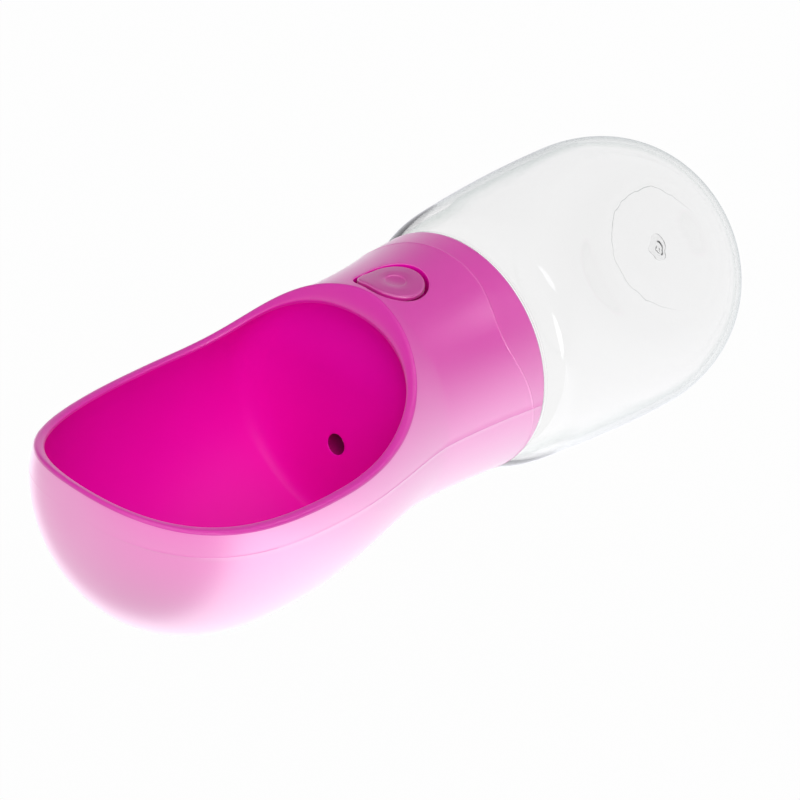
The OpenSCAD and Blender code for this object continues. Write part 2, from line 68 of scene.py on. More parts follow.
class Slot(Enum):
    """Names of the record's material slots for the new pieces; nothing here uses them."""

    CLEAR_BOTTLE = "clear_bottle"
    HEAD_PINK = "head_pink"
    BUTTON_PINK = "button_pink"
    SPRING_STEEL = "spring_steel"


# Nodes of a material

def linear(hex_colour: str) -> tuple[float, float, float, float]:
    """Turns an sRGB hex colour into linear values.

    Args:
        hex_colour: six hex digits after a hash sign.

    Returns:
        Red, green and blue in linear light, and an alpha of 1.
    """
    parts = [int(hex_colour[i:i + 2], 16) / 255 for i in (1, 3, 5)]
    red, green, blue = (p / 12.92 if p <= 0.04045 else ((p + 0.055) / 1.055) ** 2.4 for p in parts)
    return red, green, blue, 1.0


def add_node(material: bpy.types.ID, kind: str, links: dict | None = None, **settings) -> bpy.types.Node:
    """Adds one node to a material's tree with its settings and links.

    Args:
        material: the material or world that gets the node.
        kind: the node's type name.
        links: input name or number, to the output socket that feeds it.
        **settings: node properties, or input values by socket name.

    Returns:
        The new node.
    """
    tree = material.node_tree
    node = tree.nodes.new(kind)
    for key, value in settings.items():
        if hasattr(node, key):
            setattr(node, key, value)
    for key, value in settings.items():
        if not hasattr(node, key):
            node.inputs[key.replace("_", " ") if isinstance(key, str) else key].default_value = value
    for key, source in (links or {}).items():
        tree.links.new(source, node.inputs[key])
    return node


def new_material(name: str) -> tuple[bpy.types.Material, bpy.types.Node, bpy.types.Node]:
    """Makes an empty material with its surface shader and its object coordinates.

    Args:
        name: the real material's name.

    Returns:
        The material, its Principled node and its Texture Coordinate node.
    """
    material = bpy.data.materials.new(name)
    material.use_nodes = True
    material.node_tree.nodes.clear()
    shader = add_node(material, "ShaderNodeBsdfPrincipled")
    add_node(material, "ShaderNodeOutputMaterial", {"Surface": shader.outputs[0]})
    place = add_node(material, "ShaderNodeTexCoord")
    return material, shader, place


def per_metre(size_mm: float) -> float:
    """Noise scale that gives features of this size in millimetres."""
    return 1.0 / (size_mm * MM)


@dataclass(frozen=True)
class MouldedPlastic:
    """Injection-moulded plastic with a spark-eroded grain and faint colour drift."""

    name: str
    colour: str
    drift_colour: str
    roughness: float
    grain_mm: float = 0.5
    grain_depth_mm: float = 0.006
    sheen: float = 0.0
    sheen_roughness: float = 0.4
    coat: float = 0.0
    coat_ior: float = 1.5
    coat_roughness: float = 0.35
    ior: float = 1.5
    soft_light: float = 0.0

    def build(self) -> bpy.types.Material:
        """Makes the material.

        Returns:
            A satin plastic; the grain breaks up the highlights, and the drift is the
            slight unevenness of pigment in a moulding.
        """
        material, shader, place = new_material(self.name)
        spot = place.outputs["Object"]
        drift = add_node(material, "ShaderNodeTexNoise", {"Vector": spot}, Scale=per_metre(28), Detail=3.0)
        tint = add_node(material, "ShaderNodeMix", {"Factor": drift.outputs["Fac"]}, data_type="RGBA")
        tint.inputs[6].default_value = linear(self.colour)
        tint.inputs[7].default_value = linear(self.drift_colour)
        material.node_tree.links.new(tint.outputs[2], shader.inputs["Base Color"])
        grain = add_node(material, "ShaderNodeTexNoise", {"Vector": spot},
                         Scale=per_metre(self.grain_mm), Detail=4.0, Roughness=0.6)
        gloss = add_node(material, "ShaderNodeMapRange", {"Value": grain.outputs["Fac"]},
                         From_Min=0.3, From_Max=0.7,
                         To_Min=self.roughness - 0.04, To_Max=self.roughness + 0.04)
        material.node_tree.links.new(gloss.outputs[0], shader.inputs["Roughness"])
        bump = add_node(material, "ShaderNodeBump", {"Height": grain.outputs["Fac"]},
                        Strength=1.0, Distance=self.grain_depth_mm * MM)
        material.node_tree.links.new(bump.outputs[0], shader.inputs["Normal"])
        shader.inputs["IOR"].default_value = self.ior
        shader.inputs["Sheen Weight"].default_value = self.sheen
        shader.inputs["Sheen Roughness"].default_value = self.sheen_roughness
        shader.inputs["Coat Weight"].default_value = self.coat
        shader.inputs["Coat Roughness"].default_value = self.coat_roughness
        shader.inputs["Coat IOR"].default_value = self.coat_ior
        shader.inputs["Subsurface Weight"].default_value = self.soft_light
        shader.inputs["Subsurface Radius"].default_value = (2.0 * MM, 0.4 * MM, 1.0 * MM)
        shader.inputs["Subsurface Scale"].default_value = 1.0
        return material


@dataclass(frozen=True)
class ClearCopolyester:
    """Blown clear plastic: nearly glass, a little milky, with the slow waves of a blown wall."""

    name: str = "clear_copolyester_blown"
    colour: str = "#fbfbfb"
    # Painted edge shade: the plastic's faint green, deepened where the wall is seen edge-on
    edge_shade_colour: str = "#a8bcb5"
    # Painted shade: the grey of a thin line along one side of the foot ring
    foot_shade_colour: str = "#8d9492"
    roughness: float = 0.004
    wave_mm: float = 30.0
    wave_depth_mm: float = 0.006
    foot_r_mm: float = 16.4
    foot_wander_mm: float = 0.7
    foot_shade_w_mm: float = 0.14

    def build(self) -> bpy.types.Material:
        """Makes the material.

        Returns:
            A clear plastic whose uneven wall bends what lies behind it, with painted shade:
            a darker grey-green where it is seen edge-on, and a thin grey line along one side of the foot ring.
        """
        material, shader, place = new_material(self.name)
        spot = place.outputs["Object"]
        waves = add_node(material, "ShaderNodeTexNoise", {"Vector": spot}, Scale=per_metre(self.wave_mm), Detail=2.0)
        bump = add_node(material, "ShaderNodeBump", {"Height": waves.outputs["Fac"]},
                        Strength=1.0, Distance=self.wave_depth_mm * MM)
        material.node_tree.links.new(bump.outputs[0], shader.inputs["Normal"])
        haze = add_node(material, "ShaderNodeTexNoise", {"Vector": spot}, Scale=per_metre(6), Detail=4.0)
        gloss = add_node(material, "ShaderNodeMapRange", {"Value": haze.outputs["Fac"]},
                         From_Min=0.3, From_Max=0.7, To_Min=self.roughness, To_Max=self.roughness * 2)
        material.node_tree.links.new(gloss.outputs[0], shader.inputs["Roughness"])
        # Painted shade: a thin dark line along the foot ring, on its +X side only
        foot_shaded = add_node(material, "ShaderNodeMix", {"Factor": self.foot_shade_line(material, spot)}, data_type="RGBA")
        # Painted edge shade: the base colour turns a darker grey-green where the wall is seen edge-on
        slant = add_node(material, "ShaderNodeLayerWeight", Blend=0.5)
        edge = add_node(material, "ShaderNodeMapRange", {"Value": slant.outputs["Facing"]}, From_Min=0.68, From_Max=0.95)
        glass = add_node(material, "ShaderNodeMix", {"Factor": edge.outputs[0]}, data_type="RGBA")
        glass.inputs[6].default_value = linear(self.colour)
        glass.inputs[7].default_value = linear(self.edge_shade_colour)
        material.node_tree.links.new(glass.outputs[2], foot_shaded.inputs[6])
        foot_shaded.inputs[7].default_value = linear(self.foot_shade_colour)
        material.node_tree.links.new(foot_shaded.outputs[2], shader.inputs["Base Color"])
        shader.inputs["IOR"].default_value = 1.46
        shader.inputs["Transmission Weight"].default_value = 1.0
        return material

    def foot_shade_line(self, material: bpy.types.Material, spot: bpy.types.NodeSocket) -> bpy.types.NodeSocket:
        """Painted shade along the foot ring: a thin wandering dark line, on one side only.

        Args:
            material: the clear plastic.
            spot: its object coordinates.

        Returns:
            1 on the line and 0 elsewhere.
        """
        across = add_node(material, "ShaderNodeVectorMath", {0: spot}, operation="MULTIPLY")
        across.inputs[1].default_value = (1, 1, 0)
        reach = add_node(material, "ShaderNodeVectorMath", {0: across.outputs[0]}, operation="LENGTH")
        wander = add_node(material, "ShaderNodeTexNoise", {"Vector": across.outputs[0]}, Scale=per_metre(6), Detail=2.0)
        line_r = add_node(material, "ShaderNodeMapRange", {"Value": wander.outputs["Fac"]}, From_Min=0.25, From_Max=0.75,
                          To_Min=(self.foot_r_mm - self.foot_wander_mm) * MM,
                          To_Max=(self.foot_r_mm + self.foot_wander_mm) * MM)
        off = add_node(material, "ShaderNodeMath", {0: reach.outputs["Value"], 1: line_r.outputs[0]}, operation="SUBTRACT")
        away = add_node(material, "ShaderNodeMath", {0: off.outputs[0]}, operation="ABSOLUTE")
        line = add_node(material, "ShaderNodeMapRange", {"Value": away.outputs[0]}, From_Min=0.25 * self.foot_shade_w_mm * MM,
                        From_Max=self.foot_shade_w_mm * MM, To_Min=1.0, To_Max=0.0)
        way = add_node(material, "ShaderNodeSeparateXYZ", {0: spot})
        low = add_node(material, "ShaderNodeMapRange", {"Value": way.outputs["Z"]}, From_Min=1.1 * MM,
                       From_Max=1.5 * MM, To_Min=1.0, To_Max=0.0)
        # The painted shade line shows on the +X side only
        shaded_side = add_node(material, "ShaderNodeMapRange", {"Value": way.outputs["X"]}, From_Min=-9 * MM,
                        From_Max=1 * MM, To_Min=0.0, To_Max=1.0)
        both = add_node(material, "ShaderNodeMath", {0: line.outputs[0], 1: low.outputs[0]}, operation="MULTIPLY")
        return add_node(material, "ShaderNodeMath", {0: both.outputs[0], 1: shaded_side.outputs[0]},
                        operation="MULTIPLY").outputs[0]


@dataclass(frozen=True)
class SealRubber:
    """Moulded silicone or nitrile rubber: matt, with a faint bloom."""

    name: str
    colour: str
    bloom_colour: str
    roughness: float = 0.6

    def build(self) -> bpy.types.Material:
        """Makes the material.

        Returns:
            A matt rubber with a dusty bloom in patches.
        """
        material, shader, place = new_material(self.name)
        spot = place.outputs["Object"]
        bloom = add_node(material, "ShaderNodeTexNoise", {"Vector": spot}, Scale=per_metre(3), Detail=5.0)
        tint = add_node(material, "ShaderNodeMix", {"Factor": bloom.outputs["Fac"]}, data_type="RGBA")
        tint.inputs[6].default_value = linear(self.colour)
        tint.inputs[7].default_value = linear(self.bloom_colour)
        material.node_tree.links.new(tint.outputs[2], shader.inputs["Base Color"])
        bump = add_node(material, "ShaderNodeBump", {"Height": bloom.outputs["Fac"]},
                        Strength=0.6, Distance=0.02 * MM)
        material.node_tree.links.new(bump.outputs[0], shader.inputs["Normal"])
        shader.inputs["Roughness"].default_value = self.roughness
        return material


@dataclass(frozen=True)
class StainlessSteel:
    """Stainless steel, drawn as wire or cold-headed as screws."""

    name: str
    colour: str = "#c9cacc"
    roughness: float = 0.28
    line_mm: float = 0.25

    def build(self) -> bpy.types.Material:
        """Makes the material.

        Returns:
            A steel whose fine marks spread the highlight along the wire.
        """
        material, shader, place = new_material(self.name)
        spot = place.outputs["Object"]
        marks = add_node(material, "ShaderNodeTexNoise", {"Vector": spot}, Scale=per_metre(self.line_mm), Detail=3.0)
        gloss = add_node(material, "ShaderNodeMapRange", {"Value": marks.outputs["Fac"]},
                         From_Min=0.3, From_Max=0.7, To_Min=self.roughness - 0.08, To_Max=self.roughness + 0.1)
        material.node_tree.links.new(gloss.outputs[0], shader.inputs["Roughness"])
        bump = add_node(material, "ShaderNodeBump", {"Height": marks.outputs["Fac"]},
                        Strength=0.4, Distance=0.01 * MM)
        material.node_tree.links.new(bump.outputs[0], shader.inputs["Normal"])
        shader.inputs["Base Color"].default_value = linear(self.colour)
        shader.inputs["Metallic"].default_value = 1.0
        return material


# Modelling helpers

def only(*objects: bpy.types.Object) -> None:
    """Selects these objects alone and makes the first one active."""
    if bpy.context.object and bpy.context.object.mode != "OBJECT":
        bpy.ops.object.mode_set(mode="OBJECT")
    bpy.ops.object.select_all(action="DESELECT")
    for item in objects:
        item.select_set(True)
    bpy.context.view_layer.objects.active = objects[0]


def pick(made: bpy.types.Object, indexes: list[int]) -> None:
    """Selects these vertices of one object and nothing else, in vertex mode."""
    only(made)
    bpy.ops.object.mode_set(mode="EDIT")
    bpy.ops.mesh.select_mode(type="VERT")
    bpy.ops.mesh.select_all(action="DESELECT")
    bpy.ops.object.mode_set(mode="OBJECT")
    for index in indexes:
        made.data.vertices[index].select = True


def sheet(name: str, points: np.ndarray, material: bpy.types.Material) -> bpy.types.Object:
    """Shapes a grid primitive to rows of points.

    Args:
        name: the new object's name.
        points: rows by columns by three, in millimetres.
        material: the finish of the sheet.

    Returns:
        An open sheet of four-sided faces.
    """
    rows, columns = points.shape[:2]
    bpy.ops.object.select_all(action="DESELECT")
    bpy.ops.mesh.primitive_grid_add(x_subdivisions=columns - 1, y_subdivisions=rows - 1, size=1)
    made = bpy.context.object
    made.name = name
    made.data.vertices.foreach_set("co", (points * MM).astype(np.float32).ravel())
    made.data.materials.append(material)
    return made


def join(*objects: bpy.types.Object) -> bpy.types.Object:
    """Joins objects into the first one and merges the points that meet."""
    only(*objects)
    bpy.ops.object.join()
    made = bpy.context.object
    bpy.ops.object.mode_set(mode="EDIT")
    bpy.ops.mesh.select_all(action="SELECT")
    bpy.ops.mesh.remove_doubles(threshold=2e-6)
    bpy.ops.mesh.dissolve_degenerate(threshold=1e-7)
    bpy.ops.mesh.normals_make_consistent(inside=False)
    bpy.ops.object.mode_set(mode="OBJECT")
    return made


def smooth(made: bpy.types.Object, angle: float) -> None:
    """Shades an object smooth, with edges sharper than the angle in degrees kept."""
    only(made)
    bpy.ops.object.shade_smooth_by_angle(angle=math.radians(angle))


def lathe(name: str, outline: list[tuple[float, float]], sides: int,
          material: bpy.types.Material, closed: bool = False) -> bpy.types.Object:
    """Turns an outline about Z: a circle is extruded ring by ring.

    Args:
        name: the new object's name.
        outline: radius and height of each ring, in millimetres, from one end to the other.
        sides: points round each ring.
        material: the finish.
        closed: whether the last ring joins the first.

    Returns:
        The turned solid, its ends closed at the axis where the outline starts there.
    """
    least = 0.02
    rings = [(max(r, least), z) for r, z in outline]
    bpy.ops.object.select_all(action="DESELECT")
    first_r, first_z = rings[0]
    bpy.ops.mesh.primitive_circle_add(vertices=sides, radius=first_r * MM, location=(0, 0, first_z * MM))
    made = bpy.context.object
    made.name = name
    bpy.ops.object.transform_apply(location=True, rotation=True, scale=True)
    bpy.ops.object.mode_set(mode="EDIT")
    bpy.ops.mesh.select_all(action="SELECT")
    if not closed:
        bpy.ops.mesh.edge_face_add()
    for (r0, z0), (r1, z1) in zip(rings, rings[1:]):
        bpy.ops.mesh.extrude_edges_move(TRANSFORM_OT_translate={"value": (0, 0, (z1 - z0) * MM)})
        ratio = r1 / r0
        bpy.ops.transform.resize(value=(ratio, ratio, 1), center_override=(0, 0, 0))
    if closed:
        bpy.ops.mesh.select_all(action="SELECT")
        bpy.ops.mesh.remove_doubles(threshold=2e-6)
    else:
        bpy.ops.mesh.edge_face_add()
    bpy.ops.mesh.select_all(action="SELECT")
    bpy.ops.mesh.normals_make_consistent(inside=False)
    bpy.ops.object.mode_set(mode="OBJECT")
    made.data.materials.clear()
    made.data.materials.append(material)
    return made


def arc(centre: tuple[float, float], radius: float, start: float, end: float,
        count: int = 6) -> list[tuple[float, float]]:
    """Points of a round corner in an outline.

    Args:
        centre: radius and height of the corner's middle.
        radius: the corner's radius in millimetres.
        start: first angle in degrees, 0 outwards and 90 up.
        end: last angle in degrees.
        count: number of steps.

    Returns:
        Radius and height of each point.
    """
    turns = [math.radians(start + (end - start) * k / count) for k in range(count + 1)]
    return [(centre[0] + radius * math.cos(t), centre[1] + radius * math.sin(t)) for t in turns]


# Form of the head: the CAD source's, with the trough's end wall rounded further at the sides and the rim

def eased(u: np.ndarray) -> np.ndarray:
    """Smooth step from 0 to 1."""
    v = np.clip(u, 0, 1)
    return v * v * (3 - 2 * v)


def rounded(u: np.ndarray, power: float) -> np.ndarray:
    """Height over a rounded end: 1 at u = 0 and 0 at u = 1."""
    return np.maximum(1 - np.maximum(u, 0) ** power, 0) ** (1 / power)


@dataclass(frozen=True)
class HeadForm:
    """Sizes of the head in millimetres, and the surfaces that they give."""

    rim_z: float = 85.7
    skirt_r: float = 30.5
    skirt_taper: float = 0.07
    waist_half_w: float = 28.4
    waist_top_r: float = 28.2
    waist_z: float = 117.0
    waist_belly_r: float = 30.0
    waist_belly_z: float = 109.5
    wall: float = 2.3
    bowl_half_w: float = 34.0
    bowl_z: float = 158.0
    bowl_depth: float = 38.3
    bowl_deepest_z: float = 163.0
    bowl_top_r: float = 34.0
    nose_z: float = 209.8
    nose_lift: float = 5.6
    nose_plan_power: float = 2.5
    nose_belly_power: float = 2.4
    side_swell_power: float = 0.79
    belly_swell_power: float = 1.13
    rim_hold_power: float = 1.2
    end_wall_z: float = 121.6
    end_wall_lean: float = 0.066
    end_wall_round: float = 5.0
    end_wall_side_round: float = 12.0
    end_wall_rim_round: float = 6.0
    rim_round_power: float = 1.68
    rim_sink: float = 2.19
    rim_low_h: float = 6.6
    crest_z: float = 118.65
    rim_fall: float = 11.6
    rim_nose_rise: float = 5.4
    rim_rise_z: float = 165.0

    def crease_z(self, turn: np.ndarray) -> np.ndarray:
        """Height of the faint crease on the skirt at each turn, in degrees."""
        away = np.minimum(np.abs(turn + 90), np.abs(turn - 270))
        high = 6.2 * eased((130 - away) / 130 * 1.6) + 3.6 * np.exp(-((away - 50) / 22) ** 2)
        return self.rim_z + np.maximum(0.6, high)

    def _waist(self, z: np.ndarray, turn: np.ndarray, narrow: float) -> np.ndarray:
        """Half axis of the section from the skirt up to the narrowest ring."""
        start = self.crease_z(turn)
        at_crease = self.skirt_r - self.skirt_taper * (start - self.rim_z)
        u = np.clip((z - start) / (self.waist_z - start), 0, 1)
        skirt = self.skirt_r - self.skirt_taper * (z - self.rim_z)
        return np.where(z < start, skirt, narrow + (at_crease - narrow) * (1 - u) ** 2)

    def _side(self, z: np.ndarray, turn: np.ndarray, inset: float, narrow: float, wide: float) -> np.ndarray:
        """Half axis across the trough, or towards its rim."""
        part = np.clip((z - self.waist_z) / (self.bowl_z - self.waist_z), 0, 1)
        swell = narrow - inset + (wide - narrow) * eased(part ** self.side_swell_power)
        nose = (wide - inset) * rounded((z - self.bowl_z) / (self.nose_z - inset - self.bowl_z), self.nose_plan_power)
        low = self._waist(z, turn, narrow) - inset
        return np.where(z < self.waist_z, low, np.where(z < self.bowl_z, swell, nose))

    def _belly(self, z: np.ndarray, inset: float) -> np.ndarray:
        """Half axis towards the belly."""
        low_u = (self.waist_belly_z - z) / (self.waist_belly_z - self.rim_z)
        low = self.waist_belly_r - inset + (self.skirt_r - self.waist_belly_r) * low_u ** 2
        rise = np.clip((z - self.waist_belly_z) / (self.bowl_deepest_z - self.waist_belly_z), 0, 1) ** self.belly_swell_power
        swell = self.waist_belly_r - inset + (self.bowl_depth - self.waist_belly_r) * eased(rise)
        nose_u = (z - self.bowl_deepest_z) / (self.nose_z - inset - self.bowl_deepest_z)
        nose = (self.bowl_depth - inset) * rounded(nose_u, self.nose_belly_power)
        return np.where(z < self.waist_belly_z, low, np.where(z < self.bowl_deepest_z, swell, nose))

    def widest_y(self, z: np.ndarray) -> np.ndarray:
        """Height of the widest line, where the mould parts."""
        return -self.nose_lift * np.maximum((z - self.bowl_z) / (self.nose_z - self.bowl_z), 0) ** 3

    def point(self, z: np.ndarray, turn: np.ndarray, inset: float = 0.0, size: np.ndarray | float = 1.0) -> np.ndarray:
        """Points of the surface.

        Args:
            z: heights in millimetres.
            turn: degrees round the axis, 0 at +X, 90 at the belly and 270 at the rim.
            inset: how far the surface lies inside the outer one.
            size: scale of the section about its middle.

        Returns:
            An array whose last axis is X, Y, Z.
        """
        z, turn = np.broadcast_arrays(np.asarray(z, float), np.asarray(turn, float))
        s, c = np.sin(np.radians(turn)), np.cos(np.radians(turn))
        across = self._side(z, turn, inset, self.waist_half_w, self.bowl_half_w)
        rimward = self._side(z, turn, inset, self.waist_top_r, self.bowl_top_r)
        tall = np.where(s > 0, self._belly(z, inset), rimward)
        return np.stack([across * size * c, self.widest_y(z) + tall * size * s, z], -1)

    def end_wall_round_at(self, turn: np.ndarray) -> np.ndarray:
        """Depth of the end wall's rounding: at the tub's floor, at its sides and at the rim."""
        s = np.sin(np.radians(turn))
        floor = (self.end_wall_round - self.end_wall_side_round) * eased(np.maximum(s, 0))
        rim = (self.end_wall_rim_round - self.end_wall_side_round) * np.maximum(-s, 0) ** self.rim_round_power
        return self.end_wall_side_round + floor + rim

    def tub_point(self, way: np.ndarray, turn: np.ndarray) -> np.ndarray:
        """Points inside the trough: way 0 to 1 is the end wall, 1 to 2 the sides up to the nose."""
        way, turn = np.broadcast_arrays(np.asarray(way, float), np.asarray(turn, float))
        size = np.clip(way, 0, 1)
        depth = self.end_wall_round_at(turn)
        start = self.end_wall_z + depth
        top = self.nose_z - self.wall
        low = self.end_wall_z + depth * (1 - rounded(size, 3))
        z = np.where(way < 1, low, start + (top - start) * np.clip(way - 1, 0, 1))
        return self.leaned(self.point(z, turn, self.wall, size))

    def leaned(self, points: np.ndarray) -> np.ndarray:
        """Leans the end wall: points near it rise towards the belly, and sink towards the rim."""
        y, z = points[..., 1], points[..., 2]
        part = np.clip((self.bowl_z - z) / (self.bowl_z - self.end_wall_z), 0, 1)
        rise = self.end_wall_lean * part * (y + self.waist_top_r - self.end_wall_round)
        rise = rise - self.rim_sink * eased((-y - 5) / 18) * np.clip((135 - z) / 13, 0, 1)
        return np.stack([points[..., 0], y, z + rise], -1)

    def end_wall(self, x: np.ndarray, y: np.ndarray) -> np.ndarray:
        """Height of the end wall's face at a place on it."""
        size = np.hypot(x, y) / 28
        depth = self.end_wall_round_at(np.degrees(np.arctan2(y, x)))
        for _ in range(4):
            z = self.end_wall_z + depth * (1 - rounded(size, 3))
            across = self._side(z, 0 * z, self.wall, self.waist_half_w, self.bowl_half_w)
            rimward = self._side(z, 0 * z, self.wall, self.waist_top_r, self.bowl_top_r)
            tall = np.where(y > 0, self._belly(z, self.wall), rimward)
            size = np.hypot(x / across, y / tall)
        return self.leaned(np.stack([x, y, z], -1))[..., 2]

    def top_y(self, x: np.ndarray, z: np.ndarray) -> np.ndarray:
        """The waist's surface on the button side, at a place across and along it."""
        turn = -90 + np.degrees(np.arcsin(np.clip(x / self.waist_half_w, -1, 1)))
        for _ in range(4):
            across = self._side(z, turn, 0.0, self.waist_half_w, self.bowl_half_w)
            turn = -90 + np.degrees(np.arcsin(np.clip(x / across, -1, 1)))
        rimward = self._side(z, turn, 0.0, self.waist_top_r, self.bowl_top_r)
        return rimward * np.sin(np.radians(turn))

    def rim_line(self, back: float, crest_back: float = 0.0) -> tuple[np.ndarray, np.ndarray]:
        """The rim in side view.

        Args:
            back: how far the line is moved into the wall, in millimetres.
            crest_back: how much further it is moved at the crest.

        Returns:
            Heights, and the line's y at each.
        """
        z = np.linspace(108, 222, 4000)
        way = (z - self.crest_z) / self.rim_fall
        fallen = np.sign(way) * np.abs(way) ** self.rim_hold_power
        y = -(self.rim_low_h + (self.waist_top_r - self.rim_low_h) * np.exp(-fallen)
              + self.rim_nose_rise * (np.maximum(z - self.rim_rise_z, 0)
                                      / (self.nose_z - self.wall - self.rim_rise_z)) ** 3)
        slope = np.gradient(y, z)
        length = np.hypot(1, slope)
        far = back + crest_back * (1 - eased((z - self.crest_z) / 14))
        line_z, line_y = z - slope * far / length, y + far / length
        rising = line_z >= np.maximum.accumulate(line_z)
        return line_z[rising], line_y[rising]


@dataclass
class TroughHead:
    """The head: skirt, waist with the button's recess, trough and rim, in one moulding."""

    form: HeadForm = field(default_factory=HeadForm)
    lip_round: float = 0.9
    crest_round: float = -0.45
    rim_stations: int = 120
    side_columns: int = 30
    belly_columns: int = 92
    seam_w: float = 0.45
    seam_h: float = 0.1
    crease_h: float = 0.07
    rim_drop: float = 0.2
    bore_r: float = 27.0
    ledge_z: float = 99.8
    chamber_r: float = 22.2
    roof_z: float = 119.3
    outlet_r: float = 2.6
    outlet_y: float = 11.5
    button_z: float = 109.0
    recess_r: float = 7.9
    recess_point: float = 1.9
    recess_turn: float = 41.0
    recess_floor_y: float = -24.0
    recess_lip: float = 0.45
    boss_hole_r: float = 3.3

    def columns(self, start: np.ndarray | float) -> np.ndarray:
        """Turns of the columns from the rim on one side to the rim on the other.

        Args:
            start: turn of the rim on the +X side, in degrees, at each row.

        Returns:
            Rows by columns of turns.
        """
        start = np.atleast_1d(np.asarray(start, float))[:, None]
        w = self.seam_w
        side = np.linspace(0, 1, self.side_columns + 1)[None]
        first = start + (-w - start) * side
        middle = w + (180 - 2 * w) * np.linspace(0, 1, self.belly_columns + 1)[None] + 0 * start
        zero = 0 * start
        return np.concatenate([first, zero, middle, zero + 180, (180 - first)[:, ::-1]], 1)

    def seamed(self, points: np.ndarray) -> np.ndarray:
        """Raises the mould's parting line a little on both sides."""
        made = points.copy()
        near = self.side_columns + 1
        far = near + self.belly_columns + 2
        made[:, near, 0] += self.seam_h
        made[:, far, 0] -= self.seam_h
        return made

    def outer_rows(self) -> tuple[np.ndarray, np.ndarray, np.ndarray]:
        """Rows of the outside where the trough is open.

        Returns:
            Heights of the rows, the turn at which each starts, and the rim's points on the +X side.
        """
        line_z, line_y = self.form.rim_line(self.lip_round, self.crest_round)

        def start_turn(z: np.ndarray) -> np.ndarray:
            """Turn where the surface meets the rim's line."""
            low = self.form.point(z, np.full_like(z, -90.0))[..., 1]
            middle = self.form.widest_y(z)
            ratio = (np.interp(z, line_z, line_y) - middle) / np.minimum(low - middle, -1e-9)
            return -np.degrees(np.arcsin(np.clip(ratio, -1, 1)))

        def gap(z: float) -> float:
            """Above 0 where the cut has opened the section."""
            return float(np.interp(z, line_z, line_y) - self.form.point(z, -90.0)[1])

        crest = bisect(gap, 114.0, 125.0)
        nose = bisect(gap, 200.0, self.form.nose_z - 1e-6)
        s = np.linspace(0, 1, 4000)
        z = crest + (nose - crest) * (1 - np.cos(math.pi * s)) / 2
        turn = start_turn(z)
        turn[0] = turn[-1] = -90
        z = at_equal_steps(self.form.point(z, turn), z, self.rim_stations)
        turn = start_turn(z)
        turn[0] = turn[-1] = -90
        return z, turn, self.form.point(z, turn)

    def tub_rows(self) -> tuple[np.ndarray, np.ndarray, np.ndarray]:
        """The same for the inside of the trough, with ways in place of heights."""
        line_z, line_y = self.form.rim_line(self.lip_round)

        def start_turn(way: np.ndarray) -> np.ndarray:
            """Turn where the tub meets the rim's line."""
            low, high = np.full_like(way, -90.0), np.zeros_like(way)
            for _ in range(40):
                middle = (low + high) / 2
                p = self.form.tub_point(way, middle)
                above = p[..., 1] < np.interp(p[..., 2], line_z, line_y)
                low, high = np.where(above, middle, low), np.where(above, high, middle)
            return (low + high) / 2

        def gap(way: float) -> float:
            """Above 0 where the cut has opened the section."""
            p = self.form.tub_point(way, -90.0)
            return float(np.interp(p[2], line_z, line_y) - p[1])

        crest = bisect(gap, 0.3, 1.0)
        nose = bisect(gap, 1.6, 2.0)
        s = np.linspace(0, 1, 4000)
        way = crest + (nose - crest) * (1 - np.cos(math.pi * s)) / 2
        turn = start_turn(way)
        turn[0] = turn[-1] = -90
        way = at_equal_steps(self.form.tub_point(way, turn), way, self.rim_stations)
        turn = start_turn(way)
        turn[0] = turn[-1] = -90
        return way, turn, self.form.tub_point(way, turn)

    def outside(self, finish: bpy.types.Material) -> bpy.types.Object:
        """Skirt, waist and the outside of the trough, with a gap for the button's recess."""
        form = self.form
        full = self.columns(-90.0)[0]
        crease = form.crease_z(full)
        lowest = form.rim_z - self.rim_drop + 0.3
        z, start, _ = self.outer_rows()
        rows = []
        bead = 0.4 * np.minimum((crease - lowest) / 3, 1)
        for part in (0.0, 0.35, 0.7, 1.0):
            rows.append(form.point(lowest + (crease - bead - lowest) * part, full))
        for part in (-0.45, 0.0, 0.45, 1.0):
            row = form.point(crease + bead * part, full)
            if part == 0.0:
                row[:, :2] *= 1 + self.crease_h / form.skirt_r
            rows.append(row)
        start_z, top_z = crease + bead, z[0] - 0.25
        for k in range(1, 41):
            rows.append(form.point(start_z + (top_z - start_z) * k / 40, full))
        self.patch_rows = (7 + 12, len(rows) - 1)
        turns = self.columns(start)
        for k in range(len(z)):
            rows.append(form.point(z[k], turns[k]))
        cap = np.linspace(0, 1, 12)[1:]
        tip = form.nose_z
        for k in cap:
            size = 1 - (1 - (z[-1] - form.bowl_z) / (tip - form.bowl_z))
            u = (size ** form.nose_plan_power + (1 - size ** form.nose_plan_power)
                 * (1 - (1 - k) ** form.nose_plan_power)) ** (1 / form.nose_plan_power)
            rows.append(form.point(form.bowl_z + (tip - form.bowl_z) * u, full))
        points = self.seamed(np.array(rows))
        points[:, 0, 0] = np.where(np.abs(points[:, 0, 0]) < 0.01, 0, points[:, 0, 0])
        self.grid = points
        made = sheet("trough_head_shell", points, finish)
        low, high = self.patch_rows
        wide = self.patch_columns
        last = points.shape[1] - 1
        gone = [row * (last + 1) + column for row in range(low + 1, high)
                for column in [*range(0, wide), *range(last - wide + 1, last + 1)]]
        pick(made, gone)
        bpy.ops.object.mode_set(mode="EDIT")
        bpy.ops.mesh.delete(type="VERT")
        bpy.ops.object.mode_set(mode="OBJECT")
        return made

    patch_columns: int = 10

    def recess_radius(self, turn: np.ndarray) -> np.ndarray:
        """Radius of the drop-shaped recess at a turn from +X towards +Z, in radians."""
        bend = np.cos(turn - math.radians(self.recess_turn))
        return self.recess_r + self.recess_point * np.maximum(bend, 0) ** 16

